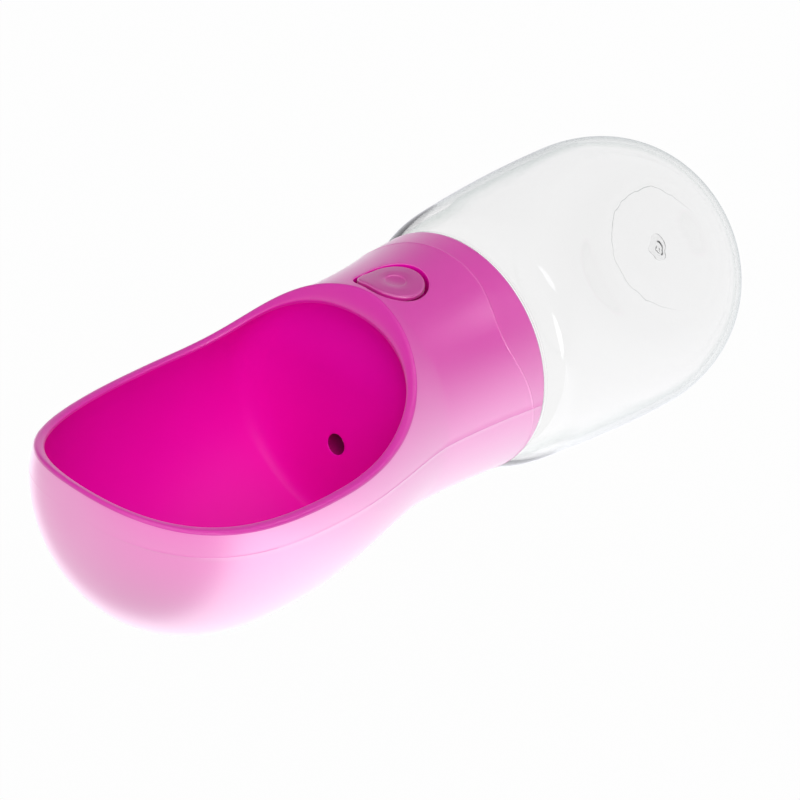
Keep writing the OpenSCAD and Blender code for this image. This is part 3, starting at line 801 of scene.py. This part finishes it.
    def recess(self, finish: bpy.types.Material, inner: bpy.types.Material) -> bpy.types.Object:
        """The button's recess, and the skin between it and the waist's grid."""
        low, high = self.patch_rows
        wide = self.patch_columns
        last = self.grid.shape[1] - 1
        bottom = [self.grid[low, c] for c in range(last - wide, last)] + [self.grid[low, c] for c in range(0, wide)]
        right = [self.grid[r, wide] for r in range(low, high)]
        top = [self.grid[high, c] for c in range(wide, 0, -1)] + [self.grid[high, c] for c in range(last, last - wide, -1)]
        left = [self.grid[r, last - wide] for r in range(high, low, -1)]
        edge = np.array(bottom + right + top + left)
        edge = np.concatenate([edge, edge[:1]])
        x, z = edge[:, 0], edge[:, 2] - self.button_z
        turn = np.arctan2(z, x)
        radius = self.recess_radius(turn)
        lip = self.recess_lip
        rows = [edge]
        start = np.hypot(x, z)
        for part in np.linspace(0, 1, 9)[1:]:
            r = start + (radius + lip - start) * part
            rows.append(self._on_waist(turn, r, 0.0))
        for k in range(1, 6):
            bend = math.radians(90 * k / 5)
            rows.append(self._on_waist(turn, radius + lip * (1 - math.sin(bend)), lip * (1 - math.cos(bend))))
        start_y = rows[-1][:, 1]
        for part in (0.35, 0.7, 0.92, 1.0):
            row = rows[-1].copy()
            row[:, 1] = start_y + (self.recess_floor_y - start_y) * part
            if part == 1.0:
                row[:, 0] *= (radius - 0.25) / radius
                row[:, 2] = self.button_z + (row[:, 2] - self.button_z) * (radius - 0.25) / radius
            rows.append(row)
        for part in (0.75, 0.5, 0.0):
            row = rows[-1].copy()
            row[:, 0] = radius * part * np.cos(turn)
            row[:, 2] = self.button_z + radius * part * np.sin(turn)
            rows.append(row)
        made = sheet("recess_skin", np.array(rows), finish)
        # The recess's walls and floor take the darker copy of the pink: painted shade
        made.data.materials.append(inner)
        across = len(turn) - 1
        for face in made.data.polygons:
            if face.index // across >= 11:
                face.material_index = 1
        return made

    def _on_waist(self, turn: np.ndarray, radius: np.ndarray, depth: float) -> np.ndarray:
        """Points at a radius round the button's axis, at a depth under the waist's surface."""
        x, z = radius * np.cos(turn), self.button_z + radius * np.sin(turn)
        return np.stack([x, self.form.top_y(x, z) + depth, z], -1)

    def lip(self, finish: bpy.types.Material) -> bpy.types.Object:
        """The rounded lip, all round the opening."""
        line_z, line_y = self.form.rim_line(0.0)
        _, _, outer = self.outer_rows()
        _, _, inner = self.tub_rows()
        rounds = self.lip_round, self.crest_round
        self.lip_round = self.crest_round = 0.0
        _, _, outer_edge = self.outer_rows()
        _, _, inner_edge = self.tub_rows()
        self.lip_round, self.crest_round = rounds
        span = np.linalg.norm(inner_edge - outer_edge, axis=1, keepdims=True)
        step = np.minimum(1.15 * self.lip_round / span, 0.42)
        step = step + (0.42 - step) * eased((span - 2.6) / 1.5)
        face_out = outer_edge + (inner_edge - outer_edge) * step
        face_in = inner_edge + (outer_edge - inner_edge) * step
        rows = []
        for t in np.linspace(0, 1, 6):
            rows.append(outer * (1 - t) ** 2 + 2 * outer_edge * t * (1 - t) + face_out * t ** 2)
        for t in (0.33, 0.67):
            rows.append(face_out + (face_in - face_out) * t)
        for t in np.linspace(0, 1, 6):
            rows.append(face_in * (1 - t) ** 2 + 2 * inner_edge * t * (1 - t) + inner * t ** 2)
        right = np.array(rows)
        left = right[:, -2:0:-1] * np.array([-1, 1, 1])
        whole = np.concatenate([right, left, right[:, :1]], 1)
        return sheet("lip_skin", whole, finish)

    def inside(self, finish: bpy.types.Material, outlet_shade: bpy.types.Material) -> bpy.types.Object:
        """The tub, its end wall and the water's hole through it."""
        form = self.form
        way, start, _ = self.tub_rows()
        turns = self.columns(start)
        full = turns[0]
        rows = []
        cap = np.linspace(0, 1, 10)[1:][::-1]
        for k in cap:
            u = way[-1] + (2 - way[-1]) * (1 - (1 - k) ** 2)
            rows.append(form.tub_point(u, full))
        for k in range(len(way) - 1, -1, -1):
            rows.append(form.tub_point(way[k], turns[k]))
        edge = rows[-1]
        x0, y0 = edge[:, 0], edge[:, 1]
        turn = np.arctan2(y0 - self.outlet_y, x0)
        reach = np.hypot(x0, y0 - self.outlet_y)
        lip = 0.35
        for part in np.linspace(0, 1, 22)[1:]:
            r = reach + (self.outlet_r + lip - reach) * part
            x, y = r * np.cos(turn), self.outlet_y + r * np.sin(turn)
            z = form.end_wall(x, y)
            rows.append(np.stack([x, y, z], -1))
        for k in range(1, 5):
            bend = math.radians(90 * k / 4)
            r = self.outlet_r + lip * (1 - math.sin(bend))
            x, y = r * np.cos(turn), self.outlet_y + r * np.sin(turn)
            rows.append(np.stack([x, y, form.end_wall(x, y) - lip * (1 - math.cos(bend))], -1))
        hole = rows[-1]
        for part in (0.33, 0.67, 1.0):
            row = hole.copy()
            row[:, 2] = hole[:, 2] + (self.roof_z - hole[:, 2]) * part
            rows.append(row)
        # The tub takes the darker copy of the pink: painted shade inside the trough
        made = sheet("tub_skin", np.array(rows), finish)
        # The outlet hole's wall takes a dark pink: painted shade in the hole
        made.data.materials.append(outlet_shade)
        across = len(full) - 1
        for face in made.data.polygons:
            if face.index // across >= len(rows) - 5:
                face.material_index = 1
        return made

    def underside(self, finish: bpy.types.Material) -> bpy.types.Object:
        """Roof and wall of the valve's chamber, ledge, threaded bore and the skirt's rim."""
        form = self.form
        low = form.rim_z - self.rim_drop
        full = self.columns(-90.0)[0]
        c, s = np.cos(np.radians(full)), np.sin(np.radians(full))
        _, start, _ = self.tub_rows()
        edge = form.tub_point(self.tub_rows()[0][0], full)
        turn = np.arctan2(edge[:, 1] - self.outlet_y, edge[:, 0])
        hole = np.stack([self.outlet_r * np.cos(turn), self.outlet_y + self.outlet_r * np.sin(turn),
                         np.full_like(turn, self.roof_z)], -1)
        rows = [hole]
        wide = np.stack([(self.chamber_r - 0.6) * c, (self.chamber_r - 0.6) * s, np.full_like(c, self.roof_z)], -1)
        for part in np.linspace(0, 1, 8)[1:]:
            rows.append(hole + (wide - hole) * part)
        outline = [(self.chamber_r, self.roof_z - 0.6), (self.chamber_r, 112.0), (self.chamber_r, 105.0),
                   (self.chamber_r, self.ledge_z + 0.3), (self.chamber_r + 0.3, self.ledge_z),
                   (self.bore_r - 0.3, self.ledge_z), (self.bore_r, self.ledge_z - 0.3), (self.bore_r, 93.0),
                   (self.bore_r, low + 0.5), (self.bore_r + 0.5, low),
                   (form.skirt_r - 0.25, low), (form.skirt_r - 0.07, low + 0.06), (form.skirt_r, low + 0.2)]
        for r, z in outline:
            rows.append(np.stack([r * c, r * s, np.full_like(c, z)], -1))
        rows.append(self.grid[0])
        return sheet("underside_skin", np.array(rows), finish)

    def thread(self, finish: bpy.types.Material) -> bpy.types.Object:
        """The ridge inside the skirt that climbs the neck's ridge."""
        made = ridge("head_thread", self.bore_r + 0.1, self.bore_r - 1.0, 87.6, 4.0, 1.6, finish)
        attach(made, Body.HEAD.value)
        return made

    def build(self, outer: bpy.types.Material, inner: bpy.types.Material,
              edge: bpy.types.Material, outlet_shade: bpy.types.Material) -> bpy.types.Object:
        """Makes the head.

        Args:
            outer: finish of the outside.
            inner: a darker, deeper copy of the outside's pink, painted shade in the tub and in the button's recess.
            edge: the lip's pink, a darker copy of the outside's as painted shade, with weaker reflections.
            outlet_shade: a dark pink painted as shade inside the outlet hole.

        Returns:
            The head as one closed shell.
        """
        shell = self.outside(outer)
        made = join(shell, self.recess(outer, inner), self.lip(edge), self.inside(inner, outlet_shade), self.underside(outer))
        bpy.ops.mesh.primitive_cylinder_add(vertices=48, radius=self.boss_hole_r * MM, depth=4.2 * MM,
                                            location=(0, -22.6 * MM, self.button_z * MM),
                                            rotation=(math.pi / 2, 0, 0))
        drill = bpy.context.object
        only(made)
        cut = made.modifiers.new("stem_hole", "BOOLEAN")
        cut.operation, cut.solver, cut.object = "DIFFERENCE", "EXACT", drill
        bpy.ops.object.modifier_apply(modifier=cut.name)
        bpy.data.objects.remove(drill)
        smooth(made, 40)
        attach(made, Body.HEAD.value)
        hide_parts("trough_head")
        return made


def bisect(function, low: float, high: float) -> float:
    """Where a function that is below 0 at one end and above 0 at the other crosses 0."""
    at_low = function(low) > 0
    for _ in range(60):
        middle = (low + high) / 2
        if (function(middle) > 0) == at_low:
            low = middle
        else:
            high = middle
    return (low + high) / 2


def at_equal_steps(points: np.ndarray, values: np.ndarray, count: int) -> np.ndarray:
    """Values at equal steps along a curve.

    Args:
        points: points of the curve.
        values: the value that goes with each point.
        count: number of steps.

    Returns:
        One value more than the steps.
    """
    length = np.concatenate([[0], np.cumsum(np.linalg.norm(np.diff(points, axis=0), axis=1))])
    return np.interp(np.linspace(0, length[-1], count + 1), length, values)


def ridge(name: str, root_r: float, crest_r: float, low_z: float, pitch: float, turns: float,
          finish: bpy.types.Material) -> bpy.types.Object:
    """A thread's ridge: a small section swept by the Screw modifier.

    Args:
        name: the new object's name.
        root_r: radius where the ridge stands on its wall.
        crest_r: radius of its top.
        low_z: height of its lower end.
        pitch: rise for each turn.
        turns: how far it runs.
        finish: its material.

    Returns:
        The closed ridge.
    """
    bpy.ops.object.select_all(action="DESELECT")
    bpy.ops.mesh.primitive_plane_add(size=1)
    made = bpy.context.object
    made.name = name
    half_root, half_top = 0.85, 0.35
    corners = [(root_r, -half_root), (root_r, half_root), (crest_r, -half_top), (crest_r, half_top)]
    for vertex, (r, z) in zip(made.data.vertices, corners):
        vertex.co = (r * MM, 0, (low_z + z) * MM)
    sweep = made.modifiers.new("thread", "SCREW")
    sweep.axis = "Z"
    sweep.angle = 2 * math.pi * turns
    sweep.screw_offset = pitch * turns * MM
    sweep.steps = sweep.render_steps = int(72 * turns)
    sweep.use_merge_vertices = False
    only(made)
    bpy.ops.object.modifier_apply(modifier=sweep.name)
    bpy.ops.object.mode_set(mode="EDIT")
    bpy.ops.mesh.select_all(action="SELECT")
    bpy.ops.mesh.remove_doubles(threshold=1e-7)
    bpy.ops.mesh.normals_make_consistent(inside=False)
    bpy.ops.object.mode_set(mode="OBJECT")
    made.data.materials.clear()
    made.data.materials.append(finish)
    smooth(made, 35)
    return made


@dataclass
class ClearBottle:
    """The blown bottle: foot ring, hollow with its gate nub, swollen side, shoulder and neck."""

    radius: float = 36.5
    widest_z: float = 27.0
    wall: float = 1.6
    side_bow: float = 400.0
    foot_r: float = 19.5
    punt_r: float = 16.5
    punt_depth: float = 1.5
    shoulder_z: float = 70.0
    shelf_z: float = 85.4
    ring_r: float = 30.2
    ring_h: float = 2.0
    neck_h: float = 10.0
    neck_bore_r: float = 23.4
    neck_root_r: float = 25.6
    neck_thread_r: float = 26.75

    def side_r(self, z: float) -> float:
        """Radius of the long side at a height."""
        return self.radius - (z - self.widest_z) ** 2 / (2 * self.side_bow)

    def shoulder_r(self, z: float) -> float:
        """Radius of the shoulder at a height."""
        end_z = self.shelf_z - self.ring_h
        drop = self.side_r(end_z) - (self.ring_r - 0.5)
        return self.side_r(z) - drop * ((z - self.shoulder_z) / (end_z - self.shoulder_z)) ** 3

    def wall_line(self, inset: float) -> list[tuple[float, float]]:
        """Heel, side and shoulder from the foot ring up, moved inwards by the inset."""
        line = []
        for k in range(33):
            a = math.radians(90 * k / 32)
            line.append((self.foot_r + (self.radius - inset - self.foot_r) * math.sin(a),
                         inset + (self.widest_z - inset) * (1 - math.cos(a))))
        for k in range(1, 17):
            z = self.widest_z + (self.shoulder_z - self.widest_z) * k / 16
            line.append((self.side_r(z) - inset, z))
        end_z = self.shelf_z - self.ring_h
        for k in range(1, 15):
            z = self.shoulder_z + (end_z - self.shoulder_z) * k / 14
            line.append((self.shoulder_r(z) - inset, z))
        return line

    def build(self, finish: bpy.types.Material) -> bpy.types.Object:
        """Makes the bottle with its thread.

        Args:
            finish: the clear plastic.

        Returns:
            The bottle, which stands for its CAD node.
        """
        lip = self.shelf_z + self.neck_h
        shelf = self.shelf_z
        depth = self.punt_depth
        outer = [(0, depth), (4, depth)]
        for k in range(13):
            outer.append((8 + (self.punt_r - 6.5) * k / 12, depth * (1 + math.cos(math.pi * k / 12)) / 2))
        outer += self.wall_line(0)
        outer += arc((self.ring_r - 0.4, shelf - 1.3), 0.4, -60, 0, 4)
        outer += arc((self.ring_r - 0.2, shelf - 0.2), 0.2, 0, 90, 4)
        outer += [(self.neck_root_r + 1.0, shelf)]
        outer += arc((self.neck_root_r + 0.6, shelf + 0.6), 0.6, 270, 180, 5)
        outer += [(self.neck_root_r, shelf + 4), (self.neck_root_r, shelf + 7)]
        outer += arc((self.neck_root_r - 0.4, lip - 0.4), 0.4, 0, 90, 4)
        outer += arc((self.neck_bore_r + 0.4, lip - 0.4), 0.4, 90, 180, 4)
        inner = [(self.neck_bore_r, lip - 5), (self.neck_bore_r, shelf + 0.5)]
        inner += [(self.neck_bore_r + 0.2, shelf + 0.1), (self.neck_bore_r + 0.9, shelf - 0.25),
                  (self.ring_r - 1.7, shelf - 0.35), (self.ring_r - 1.3, shelf - 0.6), (self.ring_r - 1.2, shelf - 1.2)]
        inner += self.wall_line(self.wall)[::-1]
        for k in range(12, -1, -1):
            inner.append((8 + (self.punt_r - 6.5) * k / 12, self.wall + depth * (1 + math.cos(math.pi * k / 12)) / 2))
        inner += [(4, self.wall + depth), (0, self.wall + depth)]
        made = lathe("clear_bottle", outer + inner, 320, finish)
        self.wander(made)
        nub = self.gate_nub(finish)
        thread = ridge("neck_ridge", self.neck_root_r - 0.1, self.neck_thread_r, 89.6, 4.0, 1.0, finish)
        only(made, nub, thread)
        bpy.ops.object.join()
        made = bpy.context.object
        smooth(made, 50)
        # Light passes the clear wall to the pieces inside
        made.visible_shadow = False
        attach(made, Body.BOTTLE.value)
        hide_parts("bottle")
        return made

    def wander(self, made: bpy.types.Object) -> None:
        """Makes the foot ring's inner edge wander a little, as on a blown base."""
        for vertex in made.data.vertices:
            r, z = math.hypot(vertex.co.x, vertex.co.y) / MM, vertex.co.z / MM
            if z > 3.2 or r < 8 or r > 19:
                continue
            turn = math.atan2(vertex.co.y, vertex.co.x)
            sway = 0.22 * math.sin(3 * turn + 0.6) + 0.14 * math.sin(7 * turn + 2.1) + 0.09 * math.sin(13 * turn)
            near = math.exp(-((r - self.punt_r) / 1.8) ** 2)
            grown = 1 + sway * near / r
            vertex.co.x, vertex.co.y = vertex.co.x * grown, vertex.co.y * grown

    def gate_nub(self, finish: bpy.types.Material) -> bpy.types.Object:
        """The rough drop-shaped nub that the mould's gate leaves in the hollow under the base."""
        depth = self.punt_depth
        outline = [(0, depth - 0.45), (0.35, depth - 0.42), (0.55, depth - 0.25), (0.75, depth - 0.3),
                   (1.05, depth - 0.5), (1.3, depth - 0.4), (1.5, depth - 0.12), (1.9, depth - 0.04),
                   (2.4, depth - 0.08), (2.7, depth + 0.02), (2.7, depth + 0.3), (0, depth + 0.3)]
        made = lathe("gate_nub", outline, 48, finish)
        for vertex in made.data.vertices:
            turn = math.atan2(vertex.co.y, vertex.co.x)
            tail = 0.75 * max(math.cos(turn + 1.2), 0) ** 5 + 0.12 * math.sin(3 * turn + 1) + 0.06 * math.sin(5 * turn)
            vertex.co.x, vertex.co.y = vertex.co.x * (1 + tail), vertex.co.y * (1 + tail)
        return made


@dataclass
class PushButton:
    """The button: a drop-shaped cap with a finger dish and the boss that holds the stem."""

    form: HeadForm = field(default_factory=HeadForm)
    middle_z: float = 109.0
    radius: float = 7.0
    point: float = 1.9
    turn: float = 41.0
    crown_r: float = 28.6
    back_y: float = -26.6
    edge_round: float = 0.55
    dish_r: float = 4.6
    dish_depth: float = 0.5
    mark_r: float = 2.5
    mark_depth: float = 0.3
    boss_r: float = 3.0
    boss_end_y: float = -21.8
    bore_r: float = 1.65
    bore_y: float = -23.8

    def build(self, finish: bpy.types.Material) -> bpy.types.Object:
        """Makes the button.

        Args:
            finish: the plastic.

        Returns:
            The button, which stands for its CAD node.
        """
        turn = np.linspace(0, 2 * math.pi, 121)
        bend = np.cos(turn - math.radians(self.turn))
        outline = self.radius + self.point * np.maximum(bend, 0) ** 16
        rows = []

        def ring(r: np.ndarray, y: np.ndarray | float | None = None, depth: float = 0.0) -> None:
            """Adds one ring, on the crown where no y is given."""
            x, z = r * np.cos(turn), r * np.sin(turn)
            if y is None:
                y = -np.sqrt(self.crown_r ** 2 - x ** 2) + depth + self.dished(r)
            rows.append(np.stack([x, np.broadcast_to(y, x.shape), self.middle_z + z], -1))

        flat = np.ones_like(turn)
        for r in (0.0, 0.6, 1.2, 1.8, 2.15, 2.35, 2.45, 2.55, 2.65, 2.9, 3.3, 3.8, 4.2, 4.5, 4.75, 5.1):
            ring(r * flat)
        inner_edge = outline - self.edge_round
        for part in (0.35, 0.7, 1.0):
            ring(5.1 + (inner_edge - 5.1) * part)
        for k in range(1, 7):
            a = math.radians(90 * k / 6)
            ring(outline - self.edge_round * (1 - math.sin(a)), depth=self.edge_round * (1 - math.cos(a)))
        ring(outline, -27.2)
        ring(outline, self.back_y - 0.1)
        ring(outline - 0.1, self.back_y)
        ring(0.6 * outline, self.back_y)
        ring((self.boss_r + 0.3) * flat, self.back_y)
        ring(self.boss_r * flat, self.back_y + 0.3)
        ring(self.boss_r * flat, self.boss_end_y - 0.2)
        ring((self.boss_r - 0.2) * flat, self.boss_end_y)
        ring((self.bore_r + 0.15) * flat, self.boss_end_y)
        ring(self.bore_r * flat, self.boss_end_y - 0.15)
        ring(self.bore_r * flat, self.bore_y)
        ring(0.0 * flat, self.bore_y)
        made = join(sheet("push_button", np.array(rows), finish))
        smooth(made, 40)
        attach(made, Body.BUTTON.value)
        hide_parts("button")
        return made

    def dished(self, r: np.ndarray) -> np.ndarray:
        """Depth of the finger dish and of the round mark in it at a radius."""
        dish = self.dish_depth * (1 - eased(r / self.dish_r) * 1.0)
        mark = self.mark_depth * (1 - eased((r - self.mark_r + 0.2) / 0.4))
        return dish + mark


@dataclass
class ReturnSpring:
    """The plunger's spring, wound from round wire about the valve's axis."""

    wire: float = 0.7
    mid_r: float = 3.2
    turns: float = 5.5
    start_y: float = 7.3
    run: float = 8.35
    axis_z: float = 109.0

    def build(self, finish: bpy.types.Material) -> bpy.types.Object:
        """Makes the spring.

        Args:
            finish: the wire's steel.

        Returns:
            The spring, which stands for its CAD node.
        """
        bpy.ops.object.select_all(action="DESELECT")
        bpy.ops.mesh.primitive_circle_add(vertices=16, radius=self.wire / 2 * MM, fill_type="NGON",
                                          location=(self.mid_r * MM, 0, (self.start_y + self.wire / 2) * MM),
                                          rotation=(math.pi / 2, 0, 0))
        made = bpy.context.object
        made.name = "return_spring_wire"
        bpy.ops.object.transform_apply(location=True, rotation=True, scale=True)
        coil = made.modifiers.new("coil", "SCREW")
        coil.axis = "Z"
        coil.angle = 2 * math.pi * self.turns
        coil.screw_offset = self.run * MM
        coil.steps = coil.render_steps = int(40 * self.turns)
        bpy.ops.object.modifier_apply(modifier=coil.name)
        made.data.transform(Matrix.Rotation(-math.pi / 2, 4, "X"))
        made.data.transform(Matrix.Translation((0, 0, self.axis_z * MM)))
        only(made)
        bpy.ops.object.mode_set(mode="EDIT")
        bpy.ops.mesh.select_all(action="SELECT")
        bpy.ops.mesh.normals_make_consistent(inside=False)
        bpy.ops.object.mode_set(mode="OBJECT")
        made.data.materials.clear()
        made.data.materials.append(finish)
        smooth(made, 50)
        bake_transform(made)
        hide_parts("return_spring")
        return made


@dataclass
class Valve:
    """The pieces inside the head, which keep their CAD meshes."""

    white: bpy.types.Material
    pale_rubber: bpy.types.Material
    black_rubber: bpy.types.Material
    steel: bpy.types.Material

    def dress(self) -> None:
        """Gives each CAD node its real finish."""
        finishes = {
            "valve_housing": self.white, "barrel_cap": self.white, "plunger": self.white,
            "lip_gasket": self.pale_rubber, "housing_o_ring": self.pale_rubber, "outlet_seal": self.pale_rubber,
            "cap_o_ring": self.black_rubber, "plunger_seal": self.black_rubber, "stem_o_rings": self.black_rubber,
            "housing_screws": self.steel,
        }
        for name, finish in finishes.items():
            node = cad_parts[name]
            for place in node.material_slots:
                place.material = finish
            log.info("%s dressed in %s", name, finish.name)


@dataclass
class Studio:
    """Floor, lamps, world and camera."""

    lens_mm: float = 135.0
    place: tuple[float, float, float] = (-0.38505902, -0.37151791, 0.58522518)
    forward: tuple[float, float, float] = (0.5310449, 0.52288256, -0.66677218)
    up: tuple[float, float, float] = (0.4200727, -0.84584944, -0.32875166)
    gloss_dim: float = 0.12
    gloss_bright: float = 2.2
    gloss_tint: tuple[float, float, float] = (0.95, 0.95, 1.0)
    window_place: tuple[float, float, float] = (-0.155, -0.268, 0.0)
    window_light: float = 3.2
    strip_way: tuple[float, float, float] = (-0.95, -0.31, 0.2)
    strip_light: float = 4.0
    through_dim: float = 0.6
    world_level: float = 0.15
    floor_white: float = 0.98

    def camera(self) -> None:
        """Sets the camera at the photograph's viewing angle."""
        data = bpy.data.cameras.new("camera")
        data.lens = self.lens_mm
        data.sensor_width = 36.0
        data.clip_start, data.clip_end = 0.01, 20.0
        made = bpy.data.objects.new("camera", data)
        bpy.context.scene.collection.objects.link(made)
        forward = Vector(self.forward).normalized()
        up = (Vector(self.up) - forward * Vector(self.up).dot(forward)).normalized()
        right = forward.cross(up)
        turn = Matrix((right, up, -forward)).transposed()
        made.matrix_world = Matrix.Translation(self.place) @ turn.to_4x4()
        bpy.context.scene.camera = made

    def lamp(self, name: str, place: tuple[float, float, float], size: float, power: float,
             colour: tuple[float, float, float] = (1, 1, 1)) -> bpy.types.Object:
        """Adds a soft square lamp that faces the object's middle.

        Args:
            name: the lamp's name.
            place: where it hangs, in metres.
            size: its side in metres.
            power: watts.
            colour: its light.

        Returns:
            The lamp.
        """
        data = bpy.data.lights.new(name, "AREA")
        data.size = size
        data.energy = power
        data.color = colour
        made = bpy.data.objects.new(name, data)
        bpy.context.scene.collection.objects.link(made)
        made.location = place
        made.visible_glossy = False
        made.visible_transmission = False
        aim = Vector((0, 0, 0.11)) - Vector(place)
        made.rotation_euler = aim.to_track_quat("-Z", "Y").to_euler()
        return made

    def graded(self, target: bpy.types.ID, along: bpy.types.NodeSocket, near: float, far: float,
               low: float, high: float) -> bpy.types.NodeSocket:
        """Brightness that rises evenly from one place or direction to another.

        Args:
            target: the world or material.
            along: the coordinate it follows.
            near: coordinate at which it starts to rise.
            far: coordinate at which it ends.
            low: brightness at the start.
            high: brightness at the end.

        Returns:
            The brightness.
        """
        grade = add_node(target, "ShaderNodeMapRange", {"Value": along},
                         From_Min=near, From_Max=far, To_Min=low, To_Max=high)
        return grade.outputs[0]

    def picked(self, target: bpy.types.ID, choices: dict[str, bpy.types.NodeSocket | float],
               otherwise: bpy.types.NodeSocket | float) -> bpy.types.NodeSocket:
        """Brightness by the kind of ray that asks.

        Args:
            target: the world or material.
            choices: brightness by name of the Light Path's output.
            otherwise: brightness for all other rays.

        Returns:
            The brightness.
        """
        path = add_node(target, "ShaderNodeLightPath")
        held = otherwise
        for kind, value in choices.items():
            mix = add_node(target, "ShaderNodeMix", {"Factor": path.outputs[kind]})
            for slot, given in ((2, held), (3, value)):
                if isinstance(given, (int, float)):
                    mix.inputs[slot].default_value = given
                else:
                    target.node_tree.links.new(given, mix.inputs[slot])
            held = mix.outputs[0]
        return held

    def world(self) -> None:
        """White behind the object; reflections see a bright side at the belly and a dim one at the button."""
        world = bpy.data.worlds.new("studio")
        bpy.context.scene.world = world
        world.use_nodes = True
        world.node_tree.nodes.clear()
        place = add_node(world, "ShaderNodeTexCoord")
        way = add_node(world, "ShaderNodeSeparateXYZ", {0: place.outputs["Generated"]})
        sky = self.graded(world, way.outputs["Y"], -0.6, 0.4, 0.25, 1.1)
        flat = add_node(world, "ShaderNodeVectorMath", {0: place.outputs["Generated"]}, operation="MULTIPLY")
        flat.inputs[1].default_value = (1, 1, 5)
        near = add_node(world, "ShaderNodeVectorMath", {0: flat.outputs[0]}, operation="DISTANCE")
        near.inputs[1].default_value = self.strip_way
        strip = self.graded(world, near.outputs["Value"], 0.26, 0.34, self.strip_light, 0.0)
        gloss = add_node(world, "ShaderNodeMath", {0: sky, 1: strip}, operation="ADD").outputs[0]
        through = self.graded(world, way.outputs["Z"], 0.0, 0.8, 1.0, self.through_dim)
        power = self.picked(world, {"Is Glossy Ray": gloss, "Is Transmission Ray": through, "Is Camera Ray": 1.0},
                            self.world_level)
        back = add_node(world, "ShaderNodeBackground", {"Strength": power}, Color=(1, 1, 1, 1))
        add_node(world, "ShaderNodeOutputWorld", {"Surface": back.outputs[0]})

    def floor(self) -> None:
        """A plain pale floor that shows white and keeps the object's shadow."""
        bpy.ops.object.select_all(action="DESELECT")
        bpy.ops.mesh.primitive_plane_add(size=6, location=(0, 0, 0))
        made = bpy.context.object
        made.name = "floor"
        material = bpy.data.materials.new("floor_paper")
        material.use_nodes = True
        material.node_tree.nodes.clear()
        place = add_node(material, "ShaderNodeTexCoord")
        way = add_node(material, "ShaderNodeSeparateXYZ", {0: place.outputs["Object"]})
        gloss = self.graded(material, way.outputs["Y"], -0.12, 0.2, self.gloss_dim, self.gloss_bright)
        far = add_node(material, "ShaderNodeVectorMath", {0: place.outputs["Object"]}, operation="DISTANCE")
        far.inputs[1].default_value = self.window_place
        window = self.graded(material, far.outputs["Value"], 0.045, 0.065, self.window_light, 0.0)
        both = add_node(material, "ShaderNodeMath", {0: gloss, 1: window}, operation="ADD")
        shine = self.picked(material, {"Is Glossy Ray": both.outputs[0], "Is Transmission Ray": 1.0}, 1.0)
        mirrored = self.picked(material, {"Is Glossy Ray": 1.0, "Is Transmission Ray": 0.0}, 0.0)
        tint = add_node(material, "ShaderNodeMix", {"Factor": mirrored}, data_type="RGBA")
        tint.inputs[6].default_value = (1, 1, 1, 1)
        tint.inputs[7].default_value = (*self.gloss_tint, 1)
        share = self.picked(material, {"Is Glossy Ray": 1.0, "Is Transmission Ray": self.floor_white,
                                       "Is Camera Ray": self.floor_white}, 0.0)
        paper = add_node(material, "ShaderNodeBsdfDiffuse", Color=(0.7, 0.7, 0.7, 1))
        white = add_node(material, "ShaderNodeEmission", {"Strength": shine, "Color": tint.outputs[2]})
        mixed = add_node(material, "ShaderNodeMixShader", {0: share, 1: paper.outputs[0], 2: white.outputs[0]})
        add_node(material, "ShaderNodeOutputMaterial", {"Surface": mixed.outputs[0]})
        made.data.materials.append(material)

    def build(self) -> None:
        """Sets up camera, light and floor."""
        self.camera()
        self.world()
        self.floor()
        self.lamp("key_softbox", (-0.85, -1.05, 0.6), 1.0, 8.8)
        self.lamp("top_softbox", (-0.55, -0.65, 1.25), 1.0, 6.9)
        self.lamp("low_fill", (0.0, -1.35, 0.35), 1.0, 4.0)
        self.lamp("back_fill", (1.0, 1.0, 0.5), 1.0, 6.0)
        bpy.context.scene.view_settings.view_transform = "Standard"


def main() -> None:
    """Builds the dressed bottle, piece by piece."""
    logging.basicConfig(level=logging.INFO, format="%(message)s")
    Studio().build()
    outer = MouldedPlastic("polypropylene_pink_satin", "#fd0fc3", "#f813bf", 0.42, sheen=0.6, sheen_roughness=0.3, coat=1.0,
                           coat_ior=3.6, coat_roughness=0.35, ior=1.6).build()
    # Painted shade: a darker, deeper copy of the outside's pink for the trough's inside and the button's recess
    tub = MouldedPlastic("polypropylene_pink_inside_shaded", "#ec02b2", "#e804ae", 0.45, ior=1.3).build()
    # Painted shade: the lip's pink is a darker copy of the outside's; its lower coat IOR gives weaker reflections
    lip = MouldedPlastic("polypropylene_pink_lip_shaded", "#e60ab0", "#e00eac", 0.42, sheen=0.3, coat=1.0,
                         coat_ior=1.9, coat_roughness=0.35).build()
    # Painted shade: a dark pink for the outlet hole's wall
    outlet_shade = MouldedPlastic("polypropylene_pink_outlet_shade", "#9a0462", "#92045c", 0.5, ior=1.3).build()
    cap = MouldedPlastic("polypropylene_pink_button", "#da0fa4", "#d414a0", 0.35, sheen=0.4, coat=1.0,
                         coat_ior=3.0, coat_roughness=0.4).build()
    white = MouldedPlastic("acetal_white", "#e9e9e4", "#e2e2dd", 0.4).build()
    clear = ClearCopolyester().build()
    pale_rubber = SealRubber("silicone_white", "#e6e6e2", "#dcdcd8").build()
    black_rubber = SealRubber("nitrile_black", "#18181a", "#242426").build()
    steel = StainlessSteel("stainless_wire").build()
    screw_steel = StainlessSteel("stainless_screws", roughness=0.2).build()
    bottle = ClearBottle().build(clear)
    log.info("%s: %d faces", bottle.name, len(bottle.data.polygons))
    head = TroughHead()
    shell = head.build(outer, tub, lip, outlet_shade)
    log.info("%s: %d faces", shell.name, len(shell.data.polygons))
    thread = head.thread(outer)
    log.info("%s: %d faces", thread.name, len(thread.data.polygons))
    button = PushButton().build(cap)
    log.info("%s: %d faces", button.name, len(button.data.polygons))
    spring = ReturnSpring().build(steel)
    log.info("%s: %d faces", spring.name, len(spring.data.polygons))
    Valve(white, pale_rubber, black_rubber, screw_steel).dress()


if __name__ == "__main__":
    main()
